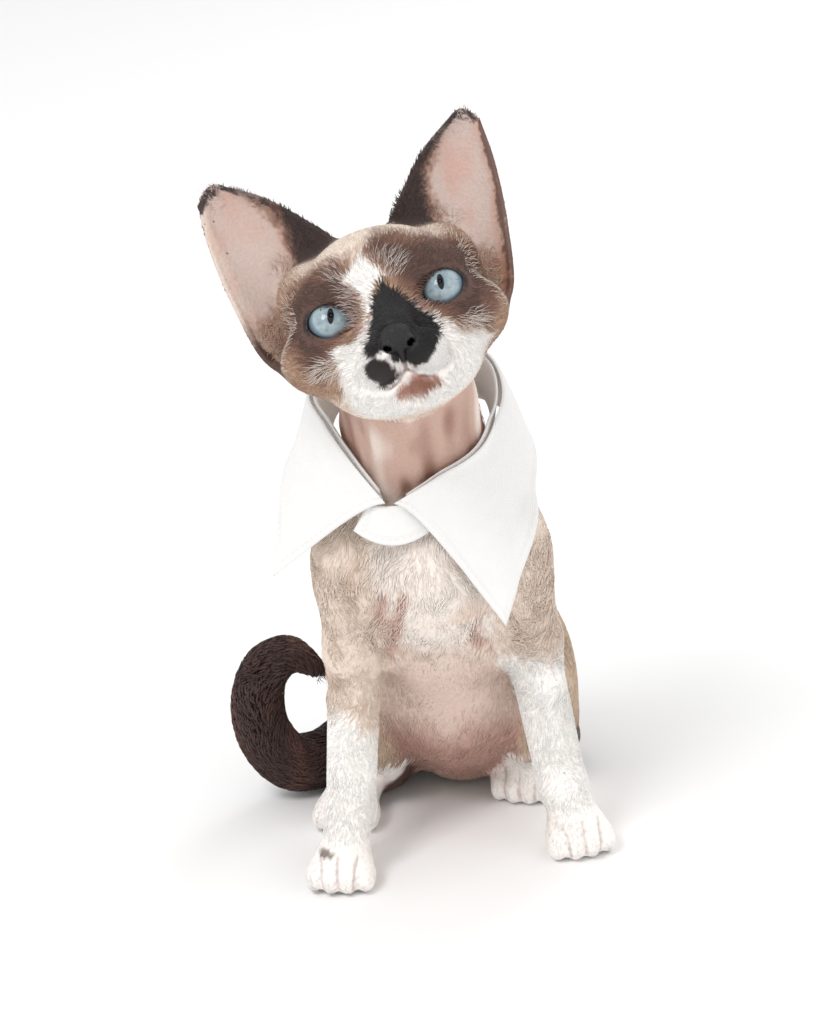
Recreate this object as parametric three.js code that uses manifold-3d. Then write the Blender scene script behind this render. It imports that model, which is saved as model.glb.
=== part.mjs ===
// A young Devon Rex cat, sitting, with its head tilted and a white cloth collar round its neck.
// Millimetres, +Z up. The cat looks along -Y, its left side is +X, and its paws and rump rest on z = 0.
// The flesh is one smooth field built from named forms. It is meshed piece by piece and parted by thin cuts.
import * as THREE from 'three';
import { mergeVertices } from 'three/addons/utils/BufferGeometryUtils.js';
import Module from 'manifold-3d';

const wasm = await Module();
wasm.setup();

const GAP = 0.3;
const DEGREE = Math.PI / 180;
const vec = (x, y, z) => new THREE.Vector3(x, y, z);

// Trunk: rib cage, breast, withers, belly and pelvis, each an ellipsoid on the middle line.
const TRUNK = [
  { at: vec(0, 27, 108), radii: vec(33, 37, 50), blend: 1 },
  { at: vec(0, -1, 122), radii: vec(24, 24, 30), blend: 12 },
  { at: vec(0, 31, 138), radii: vec(27, 26, 26), blend: 12 },
  { at: vec(0, 52, 66), radii: vec(33, 38, 48), blend: 12 },
  { at: vec(0, 76, 42), radii: vec(31, 35, 42.5), blend: 12 },
];
const NECK = { base: vec(-2, 14, 150), top: vec(-3, -14, 205), baseRadius: 29, topRadius: 24.6, blend: 12 };

// Front legs. Each runs from the shoulder to a paw whose heading turns about Z.
const FRONT_LEGS = {
  left: {
    shoulder: vec(30, 5, 124), elbow: vec(33.5, 14, 86), wrist: vec(42, 10, 26),
    paw: vec(46.5, 7, 0), heading: 16 * DEGREE,
  },
  right: {
    shoulder: vec(-30, 1, 124), elbow: vec(-32, 8, 88), wrist: vec(-38, -5, 26),
    paw: vec(-41.5, -14.5, 0), heading: -5 * DEGREE,
  },
};
const SHOULDER_RADII = vec(14.5, 19, 27);
const ELBOW_RADIUS = 13;
const FOREARM_RADIUS = 11.2;
const WRIST_RADIUS = 10.4;
const WRIST_END = 11;

// Hind legs, folded: the haunch is one form from the hip to the knee, and the foot lies along the floor.
const HIND_LEGS = {
  left: {
    haunch: vec(29, 72, 39.5), knee: vec(35, 44, 50), hock: vec(36, 88, 10),
    paw: vec(26, 56, 0), heading: -14 * DEGREE,
  },
  right: {
    haunch: vec(-30, 72, 39.5), knee: vec(-37, 42, 50), hock: vec(-34, 74, 10),
    paw: vec(-44, 37, 0), heading: -8 * DEGREE,
  },
};
const HAUNCH_RADII = vec(19, 36, 40);
const KNEE_RADIUS = 13;
const HOCK_RADIUS = 9.5;

// A paw: a rounded palm and four toes set in a loop.
const PAW = { width: 23, length: 27, height: 18.5, sink: 0.7, back: 1.5 };
const TOE = {
  count: 4, spacing: 6.6, radii: vec(4.3, 8.2, 6.2), reach: 8.6, setBack: 2, sink: 0.6, blend: 4.2,
};

// Head, in its own frame: the origin lies midway between the eyeballs, +x to the cat's left, +y to its nape.
const HEAD_AT = vec(-4.2, -36.7, 234.3);
const HEAD_TURN = new THREE.Euler(-28.8 * DEGREE, -13 * DEGREE, 4.1 * DEGREE, 'ZXY');
const EYE = {
  x: 20.7, radius: 9.5, lid: 1.3, lidBlend: 2.5,
  width: 15.8, height: 11.6, slant: 8 * DEGREE, pinch: 0.18, corners: 20,
};
const LID_DEPTH = 4.275;
const SKULL = [
  { at: vec(0, 17, 3), radii: vec(32, 32, 28.5), blend: 1 },
  { at: vec(0, 3, 13), radii: vec(24, 14, 15), blend: 9 },
  { at: vec(0, 3, -24), radii: vec(27, 21, 14.5), blend: 10 },
];
const FACE = [
  { at: vec(21.5, 8, -9), radii: vec(20, 17, 14.5), blend: 9 },
  { at: vec(17.5, -2, 10), radii: vec(14, 8.5, 6.5), blend: 6 },
  { at: vec(25, 19, 14), radii: vec(12, 11, 14), blend: 8 },
];
const BRIDGE = { from: vec(0, -3, 6), to: vec(0, -18.5, -11), fromRadius: 10, toRadius: 7.4, blend: 6 };
const MUZZLE = [
  { at: vec(7.2, -16.5, -21), radii: vec(9.6, 10, 8), blend: 4 },
  { at: vec(3.5, -13, -33.5), radii: vec(6.5, 8.5, 7), blend: 3.5 },
];
const NOSE = {
  forms: [
    { at: vec(0, -24.4, -13.8), radii: vec(5.6, 4.4, 3.6) },
    { at: vec(3.6, -24.2, -15.2), radii: vec(2.7, 3.8, 2.9) },
    { at: vec(0, -24.2, -17.6), radii: vec(3, 3.6, 3.2) },
  ],
  nostril: { at: vec(3.1, -28, -15.6), radii: vec(1.2, 2.4, 1) },
  blend: 1.5,
  socket: 0.4,
  box: vec(18, 16, 16),
};
const LIP = {
  radius: 0.85, sides: 3, reach: { near: -45, far: 5, halvings: 30 },
  philtrum: [[0, -20.5], [0, -23.5], [0, -26.8]],
  line: [[0.3, -26.8], [4, -29.4], [8.5, -30.6], [13, -29.2], [16, -26.8]],
};
const MUZZLE_BOX = { half: vec(17, 20, 17.5), at: vec(0, -27, -26) };

// Ears, given for the left side of the head frame: rims from the root to the tip.
const EAR = {
  inner: [vec(5, 12, 19), vec(10.5, 8, 30), vec(20.5, 9, 42.5), vec(31, 11, 53.5), vec(42, 12, 61)],
  outer: [vec(36, 10, -14), vec(45.5, 12, -3), vec(50.5, 14, 18), vec(53, 14, 42), vec(52.5, 12.5, 57.5)],
  leftTuck: 1.5, cup: 17, cupFade: 0.75, archPower: 0.8, tipRound: 3.4, tipPower: 6,
  thickness: 2, clearance: 0.6, rows: 10, columns: 9,
};

// Tail: from the rump along the floor past the right haunch, then up and over in an open hook.
const TAIL_PATH = [
  vec(0, 96, 26), vec(-8, 113, 17), vec(-28, 111, 12.5), vec(-45, 93, 12),
  vec(-57, 72, 12), vec(-69, 63, 15), vec(-78, 59, 29), vec(-79, 57, 46),
  vec(-74, 55.5, 59.5), vec(-65, 55, 65), vec(-53, 54, 59),
];
const TAIL_RADII = [13, 12, 12, 12, 12, 11.8, 11.4, 10.8, 9.8, 8, 3.8];
const TAIL_CUTS = [0.36, 0.7];
const TAIL = { rings: 34, leastRings: 6, sides: 12, clearance: 0.5, round: { end: 1.02, run: 0.04 } };

// Collar: a stand round the neck, two pointed leaves folded over it, and a small front piece under the V.
// Each leaf is a sheet between its fold, from the V to the nape, and its free edge.
const COLLAR = {
  foldLeft: [
    vec(-8.8, -27.4, 157.9), vec(8, -27, 167.5), vec(23, -12, 175),
    vec(30.5, 8, 185), vec(24, 25, 196), vec(-1, 33, 202),
  ],
  foldRight: [
    vec(-11.8, -26.9, 157.9), vec(-23, -24, 173), vec(-33.5, -10, 184),
    vec(-40, 7, 190), vec(-29, 25, 198), vec(-3, 33, 202),
  ],
  freeLeft: [
    vec(27.5, -19, 104.5), vec(33, -17, 120), vec(39.5, 2, 145),
    vec(39, 26, 160), vec(23, 46, 169), vec(-1, 52, 172),
  ],
  freeRight: [
    vec(-57, -13, 126), vec(-55, -3, 145), vec(-52, 12, 160),
    vec(-45, 30, 167), vec(-26, 46, 171), vec(-3, 52, 172),
  ],
  thickness: 1.4, foldClearance: 3.8, clearance: 2.2, roll: 2.5, rise: 1.25, leafRows: 6, leafColumns: 14,
  stand: { height: 20, inset: 2.2, lean: 4, clearance: 1.45, endShare: 0.03, rows: 3, columns: 28 },
  front: {
    at: vec(-10.1, -25, 158), top: 2, drop: 18, half: 15, topShare: 0.6,
    curve: 0.35, slope: 0.1, crown: 3, clearance: 1, rows: 5, columns: 8,
  },
};

// Grid steps for the meshing, finer where the form is finer.
const STEP = { trunk: 7, neck: 5.5, limb: 4.6, paw: 3.4, head: 3.3, muzzle: 2.3, nose: 1.6 };
const SETTLE_SHARE = 0.05;

// Thinning of the meshes: the share kept, the pull against long edges and the thinnest triangle.
const KEEP = 0.32;
const KEEP_SHELL = 0.6;
const EDGE_WEIGHT = 0.02;
const SLIVER = 0.08;
const TURN_LIMIT = 0.6;
const PASS_SHARE = 0.06;
const PASS_LEAST = 8;

// Fields: below zero inside a form and above zero outside it.
function ellipsoid(at, radii) {
  return (x, y, z) => {
    const px = (x - at.x) / radii.x;
    const py = (y - at.y) / radii.y;
    const pz = (z - at.z) / radii.z;
    const level = Math.hypot(px, py, pz);
    const slope = Math.hypot(px / radii.x, py / radii.y, pz / radii.z);
    return slope === 0 ? -radii.x : level * (level - 1) / slope;
  };
}

function taper(from, to, fromRadius, toRadius) {
  const axis = to.clone().sub(from);
  const lengthSquared = axis.lengthSq();
  return (x, y, z) => {
    const along = ((x - from.x) * axis.x + (y - from.y) * axis.y + (z - from.z) * axis.z) / lengthSquared;
    const t = Math.min(1, Math.max(0, along));
    const radius = fromRadius + (toRadius - fromRadius) * t;
    return Math.hypot(x - from.x - axis.x * t, y - from.y - axis.y * t, z - from.z - axis.z * t) - radius;
  };
}

function smoothMin(a, b, width) {
  const overlap = Math.max(width - Math.abs(a - b), 0) / width;
  return Math.min(a, b) - overlap * overlap * width / 4;
}

function joined(parts) {
  return (x, y, z) => parts.reduce((level, part) => {
    const next = part.field(x, y, z);
    return level === null ? next : smoothMin(level, next, part.blend);
  }, null);
}

const ellipsoids = (forms) => forms.map(({ at, radii, blend }) => ({ field: ellipsoid(at, radii), blend }));
const mirrored = (field) => (x, y, z) => field(Math.abs(x), y, z);

// The same field, turned and moved by a matrix.
function placed(field, matrix) {
  const m = matrix.clone().invert().elements;
  return (x, y, z) => field(
    m[0] * x + m[4] * y + m[8] * z + m[12],
    m[1] * x + m[5] * y + m[9] * z + m[13],
    m[2] * x + m[6] * y + m[10] * z + m[14],
  );
}

function pawField(paw, heading) {
  const parts = [{
    field: ellipsoid(
      vec(0, PAW.back, PAW.height / 2 - PAW.sink),
      vec(PAW.width / 2, PAW.length / 2, PAW.height / 2),
    ),
    blend: 1,
  }];
  for (let toe = 0; toe < TOE.count; toe += 1) {
    const across = toe - (TOE.count - 1) / 2;
    const reach = TOE.reach - Math.abs(across) * TOE.setBack;
    const at = vec(across * TOE.spacing, -reach, TOE.radii.z - TOE.sink);
    parts.push({ field: ellipsoid(at, TOE.radii), blend: TOE.blend });
  }
  const turn = new THREE.Matrix4().makeRotationZ(heading).setPosition(paw);
  return placed(joined(parts), turn);
}

function frontLegField(leg) {
  return joined([
    { field: ellipsoid(leg.shoulder, SHOULDER_RADII), blend: 1 },
    { field: taper(leg.shoulder, leg.elbow, ELBOW_RADIUS, ELBOW_RADIUS), blend: 8 },
    { field: taper(leg.elbow, leg.wrist, FOREARM_RADIUS, WRIST_RADIUS), blend: 6 },
    { field: taper(leg.wrist, leg.paw.clone().setZ(WRIST_END), WRIST_RADIUS, WRIST_RADIUS - 1), blend: 3 },
    { field: pawField(leg.paw, leg.heading), blend: 5 },
  ]);
}

function hindLegField(leg) {
  const toes = leg.paw.clone().setZ(HOCK_RADIUS - 0.5);
  return joined([
    { field: ellipsoid(leg.haunch, HAUNCH_RADII), blend: 1 },
    { field: taper(leg.haunch, leg.knee, KNEE_RADIUS, KNEE_RADIUS), blend: 8 },
    { field: taper(leg.knee, leg.hock, KNEE_RADIUS - 2, HOCK_RADIUS), blend: 6 },
    { field: taper(leg.hock, toes, HOCK_RADIUS + 0.5, HOCK_RADIUS), blend: 4 },
    { field: pawField(leg.paw, leg.heading), blend: 4 },
  ]);
}

const headMatrix = new THREE.Matrix4().makeRotationFromEuler(HEAD_TURN).setPosition(HEAD_AT);
const headPoint = (point) => point.clone().applyMatrix4(headMatrix);
const lidField = ellipsoid(vec(EYE.x, 0, 0), vec(1, 1, 1).multiplyScalar(EYE.radius + EYE.lid));
const faceField = joined([
  ...ellipsoids(SKULL),
  ...ellipsoids(FACE),
  { field: taper(BRIDGE.from, BRIDGE.to, BRIDGE.fromRadius, BRIDGE.toRadius), blend: BRIDGE.blend },
  ...ellipsoids(MUZZLE),
  { field: lidField, blend: EYE.lidBlend },
]);
const headField = placed(mirrored(faceField), headMatrix);

const flesh = joined([
  { field: joined(ellipsoids(TRUNK)), blend: 1 },
  { field: frontLegField(FRONT_LEGS.left), blend: 9 },
  { field: frontLegField(FRONT_LEGS.right), blend: 9 },
  { field: hindLegField(HIND_LEGS.left), blend: 8 },
  { field: hindLegField(HIND_LEGS.right), blend: 8 },
  { field: taper(NECK.base, NECK.top, NECK.baseRadius, NECK.topRadius), blend: NECK.blend },
  { field: headField, blend: 10 },
]);

// Surface nets: one vertex in each grid cell that the surface crosses, one quad round each crossed edge.
const CORNERS = [0, 1, 2, 3, 4, 5, 6, 7].map((n) => [n & 1, (n >> 1) & 1, (n >> 2) & 1]);
const EDGES = [];
for (let a = 0; a < 8; a += 1) {
  for (const bit of [1, 2, 4]) {
    if (!(a & bit)) {
      EDGES.push([a, a | bit]);
    }
  }
}

function meshField(field, box, step) {
  const size = box.getSize(vec(0, 0, 0));
  const count = [size.x, size.y, size.z].map((length) => Math.ceil(length / step) + 1);
  const [nx, ny, nz] = count;
  const index = (i, j, k) => i + nx * (j + ny * k);
  const values = new Float64Array(nx * ny * nz);
  for (let k = 0; k < nz; k += 1) {
    for (let j = 0; j < ny; j += 1) {
      for (let i = 0; i < nx; i += 1) {
        const border = i === 0 || j === 0 || k === 0 || i === nx - 1 || j === ny - 1 || k === nz - 1;
        const level = field(box.min.x + i * step, box.min.y + j * step, box.min.z + k * step);
        values[index(i, j, k)] = border ? Math.max(level, step / 2) : level;
      }
    }
  }
  settle(values, count, index, step);
  const positions = [];
  const vertexOf = new Map();
  for (let k = 0; k < nz - 1; k += 1) {
    for (let j = 0; j < ny - 1; j += 1) {
      for (let i = 0; i < nx - 1; i += 1) {
        const corner = CORNERS.map(([a, b, c]) => values[index(i + a, j + b, k + c)]);
        const sum = [0, 0, 0];
        let crossings = 0;
        for (const [a, b] of EDGES) {
          if ((corner[a] < 0) !== (corner[b] < 0)) {
            const t = corner[a] / (corner[a] - corner[b]);
            for (let axis = 0; axis < 3; axis += 1) {
              sum[axis] += CORNERS[a][axis] + t * (CORNERS[b][axis] - CORNERS[a][axis]);
            }
            crossings += 1;
          }
        }
        if (crossings > 0) {
          vertexOf.set(index(i, j, k), positions.length / 3);
          positions.push(
            box.min.x + (i + sum[0] / crossings) * step,
            box.min.y + (j + sum[1] / crossings) * step,
            box.min.z + (k + sum[2] / crossings) * step,
          );
        }
      }
    }
  }
  return { positions, indices: quadsToTriangles(values, count, index, vertexOf, positions) };
}

// A square of grid points whose signs alternate would pinch the surface: a shallow outside point moves in.
function settle(values, [nx, ny, nz], index, step) {
  const steps = [[1, 0, 0], [0, 1, 0], [0, 0, 1]];
  let changed = true;
  while (changed) {
    changed = false;
    for (let k = 0; k < nz - 1; k += 1) {
      for (let j = 0; j < ny - 1; j += 1) {
        for (let i = 0; i < nx - 1; i += 1) {
          for (const [u, v] of [[0, 1], [1, 2], [2, 0]]) {
            const [a, b] = [steps[u], steps[v]];
            const square = [
              index(i, j, k), index(i + a[0], j + a[1], k + a[2]),
              index(i + a[0] + b[0], j + a[1] + b[1], k + a[2] + b[2]), index(i + b[0], j + b[1], k + b[2]),
            ];
            const inside = square.map((n) => values[n] < 0);
            if (inside[0] === inside[2] && inside[1] === inside[3] && inside[0] !== inside[1]) {
              const outside = square.filter((n) => values[n] >= 0);
              outside.sort((m, n) => values[m] - values[n]);
              values[outside[0]] = -step * SETTLE_SHARE;
              changed = true;
            }
          }
        }
      }
    }
  }
}

function quadsToTriangles(values, [nx, ny, nz], index, vertexOf, positions) {
  const indices = [];
  const corner = (n) => vec(positions[3 * n], positions[3 * n + 1], positions[3 * n + 2]);
  const around = [
    (i, j, k) => [index(i, j - 1, k - 1), index(i, j, k - 1), index(i, j, k), index(i, j - 1, k)],
    (i, j, k) => [index(i - 1, j, k - 1), index(i - 1, j, k), index(i, j, k), index(i, j, k - 1)],
    (i, j, k) => [index(i - 1, j - 1, k), index(i, j - 1, k), index(i, j, k), index(i - 1, j, k)],
  ];
  for (let k = 0; k < nz - 1; k += 1) {
    for (let j = 0; j < ny - 1; j += 1) {
      for (let i = 0; i < nx - 1; i += 1) {
        const here = values[index(i, j, k)] < 0;
        const next = [index(i + 1, j, k), index(i, j + 1, k), index(i, j, k + 1)];
        for (let axis = 0; axis < 3; axis += 1) {
          if (here !== (values[next[axis]] < 0)) {
            const cells = around[axis](i, j, k).map((cell) => vertexOf.get(cell));
            const [a, b, c, d] = here ? cells : cells.reverse();
            const split = corner(a).distanceTo(corner(c)) < corner(b).distanceTo(corner(d));
            indices.push(...(split ? [a, b, c, a, c, d] : [a, b, d, b, c, d]));
          }
        }
      }
    }
  }
  return indices;
}

// Thin a closed mesh: the edges whose planes it costs least to merge collapse first, a few in each pass.
function thin({ positions, indices }, keep) {
  const points = [];
  for (let n = 0; n < positions.length; n += 3) {
    points.push(vec(positions[n], positions[n + 1], positions[n + 2]));
  }
  let faces = [];
  for (let n = 0; n < indices.length; n += 3) {
    faces.push([indices[n], indices[n + 1], indices[n + 2]]);
  }
  const wanted = Math.round(faces.length * keep);
  const planes = points.map(() => []);
  for (const face of faces) {
    const plane = new THREE.Plane().setFromCoplanarPoints(...face.map((v) => points[v]));
    face.forEach((v) => planes[v].push(plane));
  }
  const cost = (set, point) => set.reduce((sum, plane) => sum + plane.distanceToPoint(point) ** 2, 0);
  while (faces.length > wanted) {
    const touching = points.map(() => []);
    faces.forEach((face) => face.forEach((v) => touching[v].push(face)));
    const neighbours = touching.map((around) => new Set(around.flat()));
    const edges = [];
    for (const face of faces) {
      for (let n = 0; n < 3; n += 1) {
        const [a, b] = [face[n], face[(n + 1) % 3]];
        if (a < b) {
          const middle = points[a].clone().lerp(points[b], 0.5);
          const length = points[a].distanceToSquared(points[b]);
          const merged = cost(planes[a], middle) + cost(planes[b], middle) + length * EDGE_WEIGHT;
          edges.push({ a, b, middle, merged });
        }
      }
    }
    edges.sort((first, second) => first.merged - second.merged);
    const locked = new Set();
    const gone = new Set();
    const quota = Math.max(PASS_LEAST, Math.round(edges.length * PASS_SHARE));
    let collapsed = 0;
    for (const { a, b, middle } of edges) {
      if (collapsed >= quota || faces.length - gone.size <= wanted) {
        break;
      }
      const near = [...neighbours[a], ...neighbours[b]];
      const shared = [...neighbours[a]].filter((v) => v !== a && v !== b && neighbours[b].has(v));
      if (near.some((v) => locked.has(v)) || shared.length !== 2 || flips(points, touching, a, b, middle)) {
        continue;
      }
      near.forEach((v) => locked.add(v));
      points[a] = middle;
      planes[a] = planes[a].concat(planes[b]);
      touching[b].forEach((face) => (face.includes(a) ? gone.add(face) : face.splice(face.indexOf(b), 1, a)));
      collapsed += 1;
    }
    if (collapsed === 0) {
      break;
    }
    faces = faces.filter((face) => !gone.has(face));
  }
  const order = new Map([...new Set(faces.flat())].map((v, n) => [v, n]));
  return {
    positions: [...order.keys()].flatMap((v) => points[v].toArray()),
    indices: faces.flat().map((v) => order.get(v)),
  };
}

// True where moving both ends of an edge to its middle would turn a face over or leave it a sliver.
function flips(points, touching, a, b, middle) {
  const moved = [...touching[a], ...touching[b]].filter((face) => !(face.includes(a) && face.includes(b)));
  return moved.some((face) => {
    const before = new THREE.Triangle(...face.map((v) => points[v]));
    const after = new THREE.Triangle(...face.map((v) => (v === a || v === b ? middle : points[v])));
    const turned = before.getNormal(vec(0, 0, 0)).dot(after.getNormal(vec(0, 0, 0)));
    const { a: p, b: q, c: r } = after;
    const longest = Math.max(p.distanceTo(q), q.distanceTo(r), r.distanceTo(p));
    return turned < TURN_LIMIT || after.getArea() < SLIVER * longest * longest;
  });
}

// Solids for joining and cutting.
function toSolid(positions, indices) {
  return new wasm.Manifold(new wasm.Mesh({
    numProp: 3,
    vertProperties: Float32Array.from(positions),
    triVerts: Uint32Array.from(indices),
  }));
}

function solidOf(source, matrix = new THREE.Matrix4()) {
  const plain = source.clone().applyMatrix4(matrix);
  plain.deleteAttribute('normal');
  plain.deleteAttribute('uv');
  const shared = mergeVertices(plain, 1e-4);
  return toSolid(shared.attributes.position.array, shared.index.array);
}

function largest(solid) {
  const pieces = solid.decompose();
  return pieces.reduce((best, piece) => (piece.volume() > best.volume() ? piece : best));
}

function boxSolid(center, half, matrix = new THREE.Matrix4()) {
  const block = new THREE.BoxGeometry(2 * half.x, 2 * half.y, 2 * half.z);
  block.translate(center.x, center.y, center.z);
  return solidOf(block, matrix);
}

// A closed sheet: a grid of points on its middle surface, thickened to both sides with like triangles.
function sheetSolid(rows, thickness) {
  const height = rows.length;
  const width = rows[0].length;
  const positions = [];
  const normalAt = (r, c) => {
    const along = rows[Math.min(r + 1, height - 1)][c].clone().sub(rows[Math.max(r - 1, 0)][c]);
    const across = rows[r][Math.min(c + 1, width - 1)].clone().sub(rows[r][Math.max(c - 1, 0)]);
    return along.cross(across).normalize();
  };
  for (const side of [-0.5, 0.5]) {
    for (let r = 0; r < height; r += 1) {
      for (let c = 0; c < width; c += 1) {
        positions.push(...rows[r][c].clone().addScaledVector(normalAt(r, c), side * thickness).toArray());
      }
    }
  }
  const layer = height * width;
  const at = (r, c) => r * width + c;
  const indices = [];
  for (let r = 0; r < height - 1; r += 1) {
    for (let c = 0; c < width - 1; c += 1) {
      const [a, b, d, e] = [at(r, c), at(r, c + 1), at(r + 1, c), at(r + 1, c + 1)];
      indices.push(a, b, e, a, e, d);
      indices.push(layer + a, layer + e, layer + b, layer + a, layer + d, layer + e);
    }
  }
  const columns = rows[0].map((_, c) => c);
  const lines = rows.map((_, r) => r);
  const rim = [
    ...columns.slice(0, -1).map((c) => at(0, c)),
    ...lines.slice(0, -1).map((r) => at(r, width - 1)),
    ...columns.slice(1).reverse().map((c) => at(height - 1, c)),
    ...lines.slice(1).reverse().map((r) => at(r, 0)),
  ];
  rim.forEach((a, n) => {
    const b = rim[(n + 1) % rim.length];
    indices.push(a, layer + a, b, b, layer + a, layer + b);
  });
  const solid = toSolid(positions, indices);
  return solid.volume() > 0 ? solid : toSolid(positions, indices.reverse());
}

const group = new THREE.Group();

function addNode(name, solid, color, roughness) {
  const mesh = largest(solid).getMesh();
  const geometry = new THREE.BufferGeometry();
  geometry.setAttribute('position', new THREE.BufferAttribute(Float32Array.from(mesh.vertProperties), 3));
  geometry.setIndex(Array.from(mesh.triVerts));
  geometry.computeVertexNormals();
  const material = new THREE.MeshStandardMaterial({ color, roughness, metalness: 0 });
  const node = new THREE.Mesh(geometry, material);
  node.name = name;
  group.add(node);
}

// Regions that part the flesh, in order: each node takes what no earlier region has taken.
const up = vec(0, 0, 1);
const neckAxis = NECK.top.clone().sub(NECK.base).normalize();
const neckTurn = new THREE.Quaternion().setFromUnitVectors(up, neckAxis);
const SPAN = 160;
const EGG_SEGMENTS = [16, 10];
const BALL_SEGMENTS = [16, 12];

function neckSlab(from, to) {
  const low = NECK.base.clone().addScaledVector(neckAxis, from);
  const matrix = new THREE.Matrix4().compose(low, neckTurn, vec(1, 1, 1));
  const half = (to - from) / 2;
  return (grow) => boxSolid(vec(0, 0, half), vec(SPAN / 2, SPAN / 2, half + grow), matrix);
}

function uprightBox(min, max) {
  const center = min.clone().add(max).multiplyScalar(0.5);
  const half = max.clone().sub(min).multiplyScalar(0.5);
  return (grow) => boxSolid(center, half.clone().addScalar(grow));
}

function egg(center, radii) {
  return (grow) => {
    const size = radii.clone().addScalar(grow);
    const round = new THREE.SphereGeometry(1, ...EGG_SEGMENTS).scale(size.x, size.y, size.z);
    return solidOf(round.translate(center.x, center.y, center.z));
  };
}

function pawBox({ paw, heading }, { back, half, front }) {
  const matrix = new THREE.Matrix4().makeRotationZ(heading).setPosition(paw.x, paw.y, 0);
  const center = vec(0, (back - front) / 2, CUT.paw / 2);
  const size = vec(half, (back + front) / 2, CUT.paw / 2);
  return (grow) => boxSolid(center, size.clone().addScalar(grow), matrix);
}

const headBox = (center, half) => (grow) => boxSolid(center, half.clone().addScalar(grow), headMatrix);

// Where the cuts lie: along the neck, above the floor for paws and elbows, and as boxes round them.
const CUT = {
  neckLow: 14, neckHigh: 50, paw: 19.5, elbow: 93,
  frontPaw: { back: 18, half: 18, front: 24 },
  hindPaw: { back: 20, half: 17, front: 24 },
  frontLeg: { near: 21, far: 62, front: -40, back: 27 },
  shoulderGrow: 3,
  haunchMiddle: 70,
  haunchRadii: vec(22, 44, 44),
};
const regions = [];

function addRegion(name, cutter, step, color) {
  regions.push({ name, cutter, step, color });
}

const COLORS = {
  brown: 0x5b4436, cream: 0xe9ddd0, beige: 0xcdb6a2, tail: 0x3a2721,
  eye: 0x9cc4d6, black: 0x17120f, cloth: 0xf7f6f3,
};

addRegion('muzzle', headBox(MUZZLE_BOX.at, MUZZLE_BOX.half), STEP.muzzle, COLORS.cream);
addRegion('head', neckSlab(CUT.neckHigh, CUT.neckHigh + SPAN), STEP.head, COLORS.brown);
addRegion('neck', neckSlab(CUT.neckLow, CUT.neckHigh), STEP.neck, COLORS.beige);
for (const [side, sign] of [['left', 1], ['right', -1]]) {
  const front = FRONT_LEGS[side];
  const hind = HIND_LEGS[side];
  addRegion(`front_paw_${side}`, pawBox(front, CUT.frontPaw), STEP.paw, COLORS.cream);
  const { near, far, front: foremost, back } = CUT.frontLeg;
  const [low, high] = [near * sign, far * sign].sort((a, b) => a - b);
  const legBox = uprightBox(vec(low, foremost, CUT.paw), vec(high, back, CUT.elbow));
  addRegion(`front_leg_${side}`, legBox, STEP.limb, COLORS.cream);
  const shoulderEgg = egg(front.shoulder, SHOULDER_RADII.clone().addScalar(CUT.shoulderGrow));
  addRegion(`shoulder_${side}`, shoulderEgg, STEP.limb, COLORS.beige);
  addRegion(`hind_foot_${side}`, pawBox(hind, CUT.hindPaw), STEP.paw, COLORS.cream);
  const haunchEgg = egg(hind.haunch.clone().setY(CUT.haunchMiddle), CUT.haunchRadii);
  addRegion(`haunch_${side}`, haunchEgg, STEP.limb, COLORS.beige);
}
addRegion('torso', uprightBox(vec(-SPAN, -SPAN, 0), vec(SPAN, SPAN, 2 * SPAN)), STEP.trunk, COLORS.beige);

const floorHalf = uprightBox(vec(-SPAN, -SPAN, 0), vec(SPAN, SPAN, 2 * SPAN))(0);
const reach = new THREE.Box3(vec(-75, -85, -9), vec(75, 130, 275));

function regionBox(cutter, step) {
  const bounds = cutter(0).boundingBox();
  const box = new THREE.Box3(vec(...bounds.min), vec(...bounds.max));
  box.expandByScalar(2 * step).intersect(reach);
  const snap = (value) => Math.floor(value / step) * step;
  box.min.set(snap(box.min.x), snap(box.min.y), snap(box.min.z));
  return box;
}

const solids = {};
regions.forEach(({ name, cutter, step }, order) => {
  const shape = thin(meshField(flesh, regionBox(cutter, step), step), KEEP);
  let solid = toSolid(shape.positions, shape.indices).intersect(cutter(0)).intersect(floorHalf);
  for (const earlier of regions.slice(0, order)) {
    solid = solid.subtract(earlier.cutter(GAP));
  }
  solids[name] = solid;
});

// Nose leather: a rounded wedge with two nostrils, let into the muzzle.
const noseSolidField = joined(NOSE.forms.map((form) => (
  { field: mirrored(ellipsoid(form.at, form.radii)), blend: NOSE.blend }
)));
const nostrils = mirrored(ellipsoid(NOSE.nostril.at, NOSE.nostril.radii));
const noseBox = new THREE.Box3().setFromCenterAndSize(NOSE.forms[0].at, NOSE.box);

function noseSolid(grow) {
  const field = (x, y, z) => Math.max(noseSolidField(x, y, z) - grow, grow > 0 ? -SPAN : -nostrils(x, y, z));
  const shape = meshField(field, noseBox, STEP.nose);
  const points = [];
  for (let n = 0; n < shape.positions.length; n += 3) {
    points.push(...headPoint(vec(...shape.positions.slice(n, n + 3))).toArray());
  }
  return toSolid(points, shape.indices);
}

// Eyeball, its socket, and the almond opening between the lids.
function ball(sign, radius) {
  const sphere = new THREE.SphereGeometry(radius, ...BALL_SEGMENTS).translate(sign * EYE.x, 0, 0);
  return solidOf(sphere, headMatrix);
}

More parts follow.
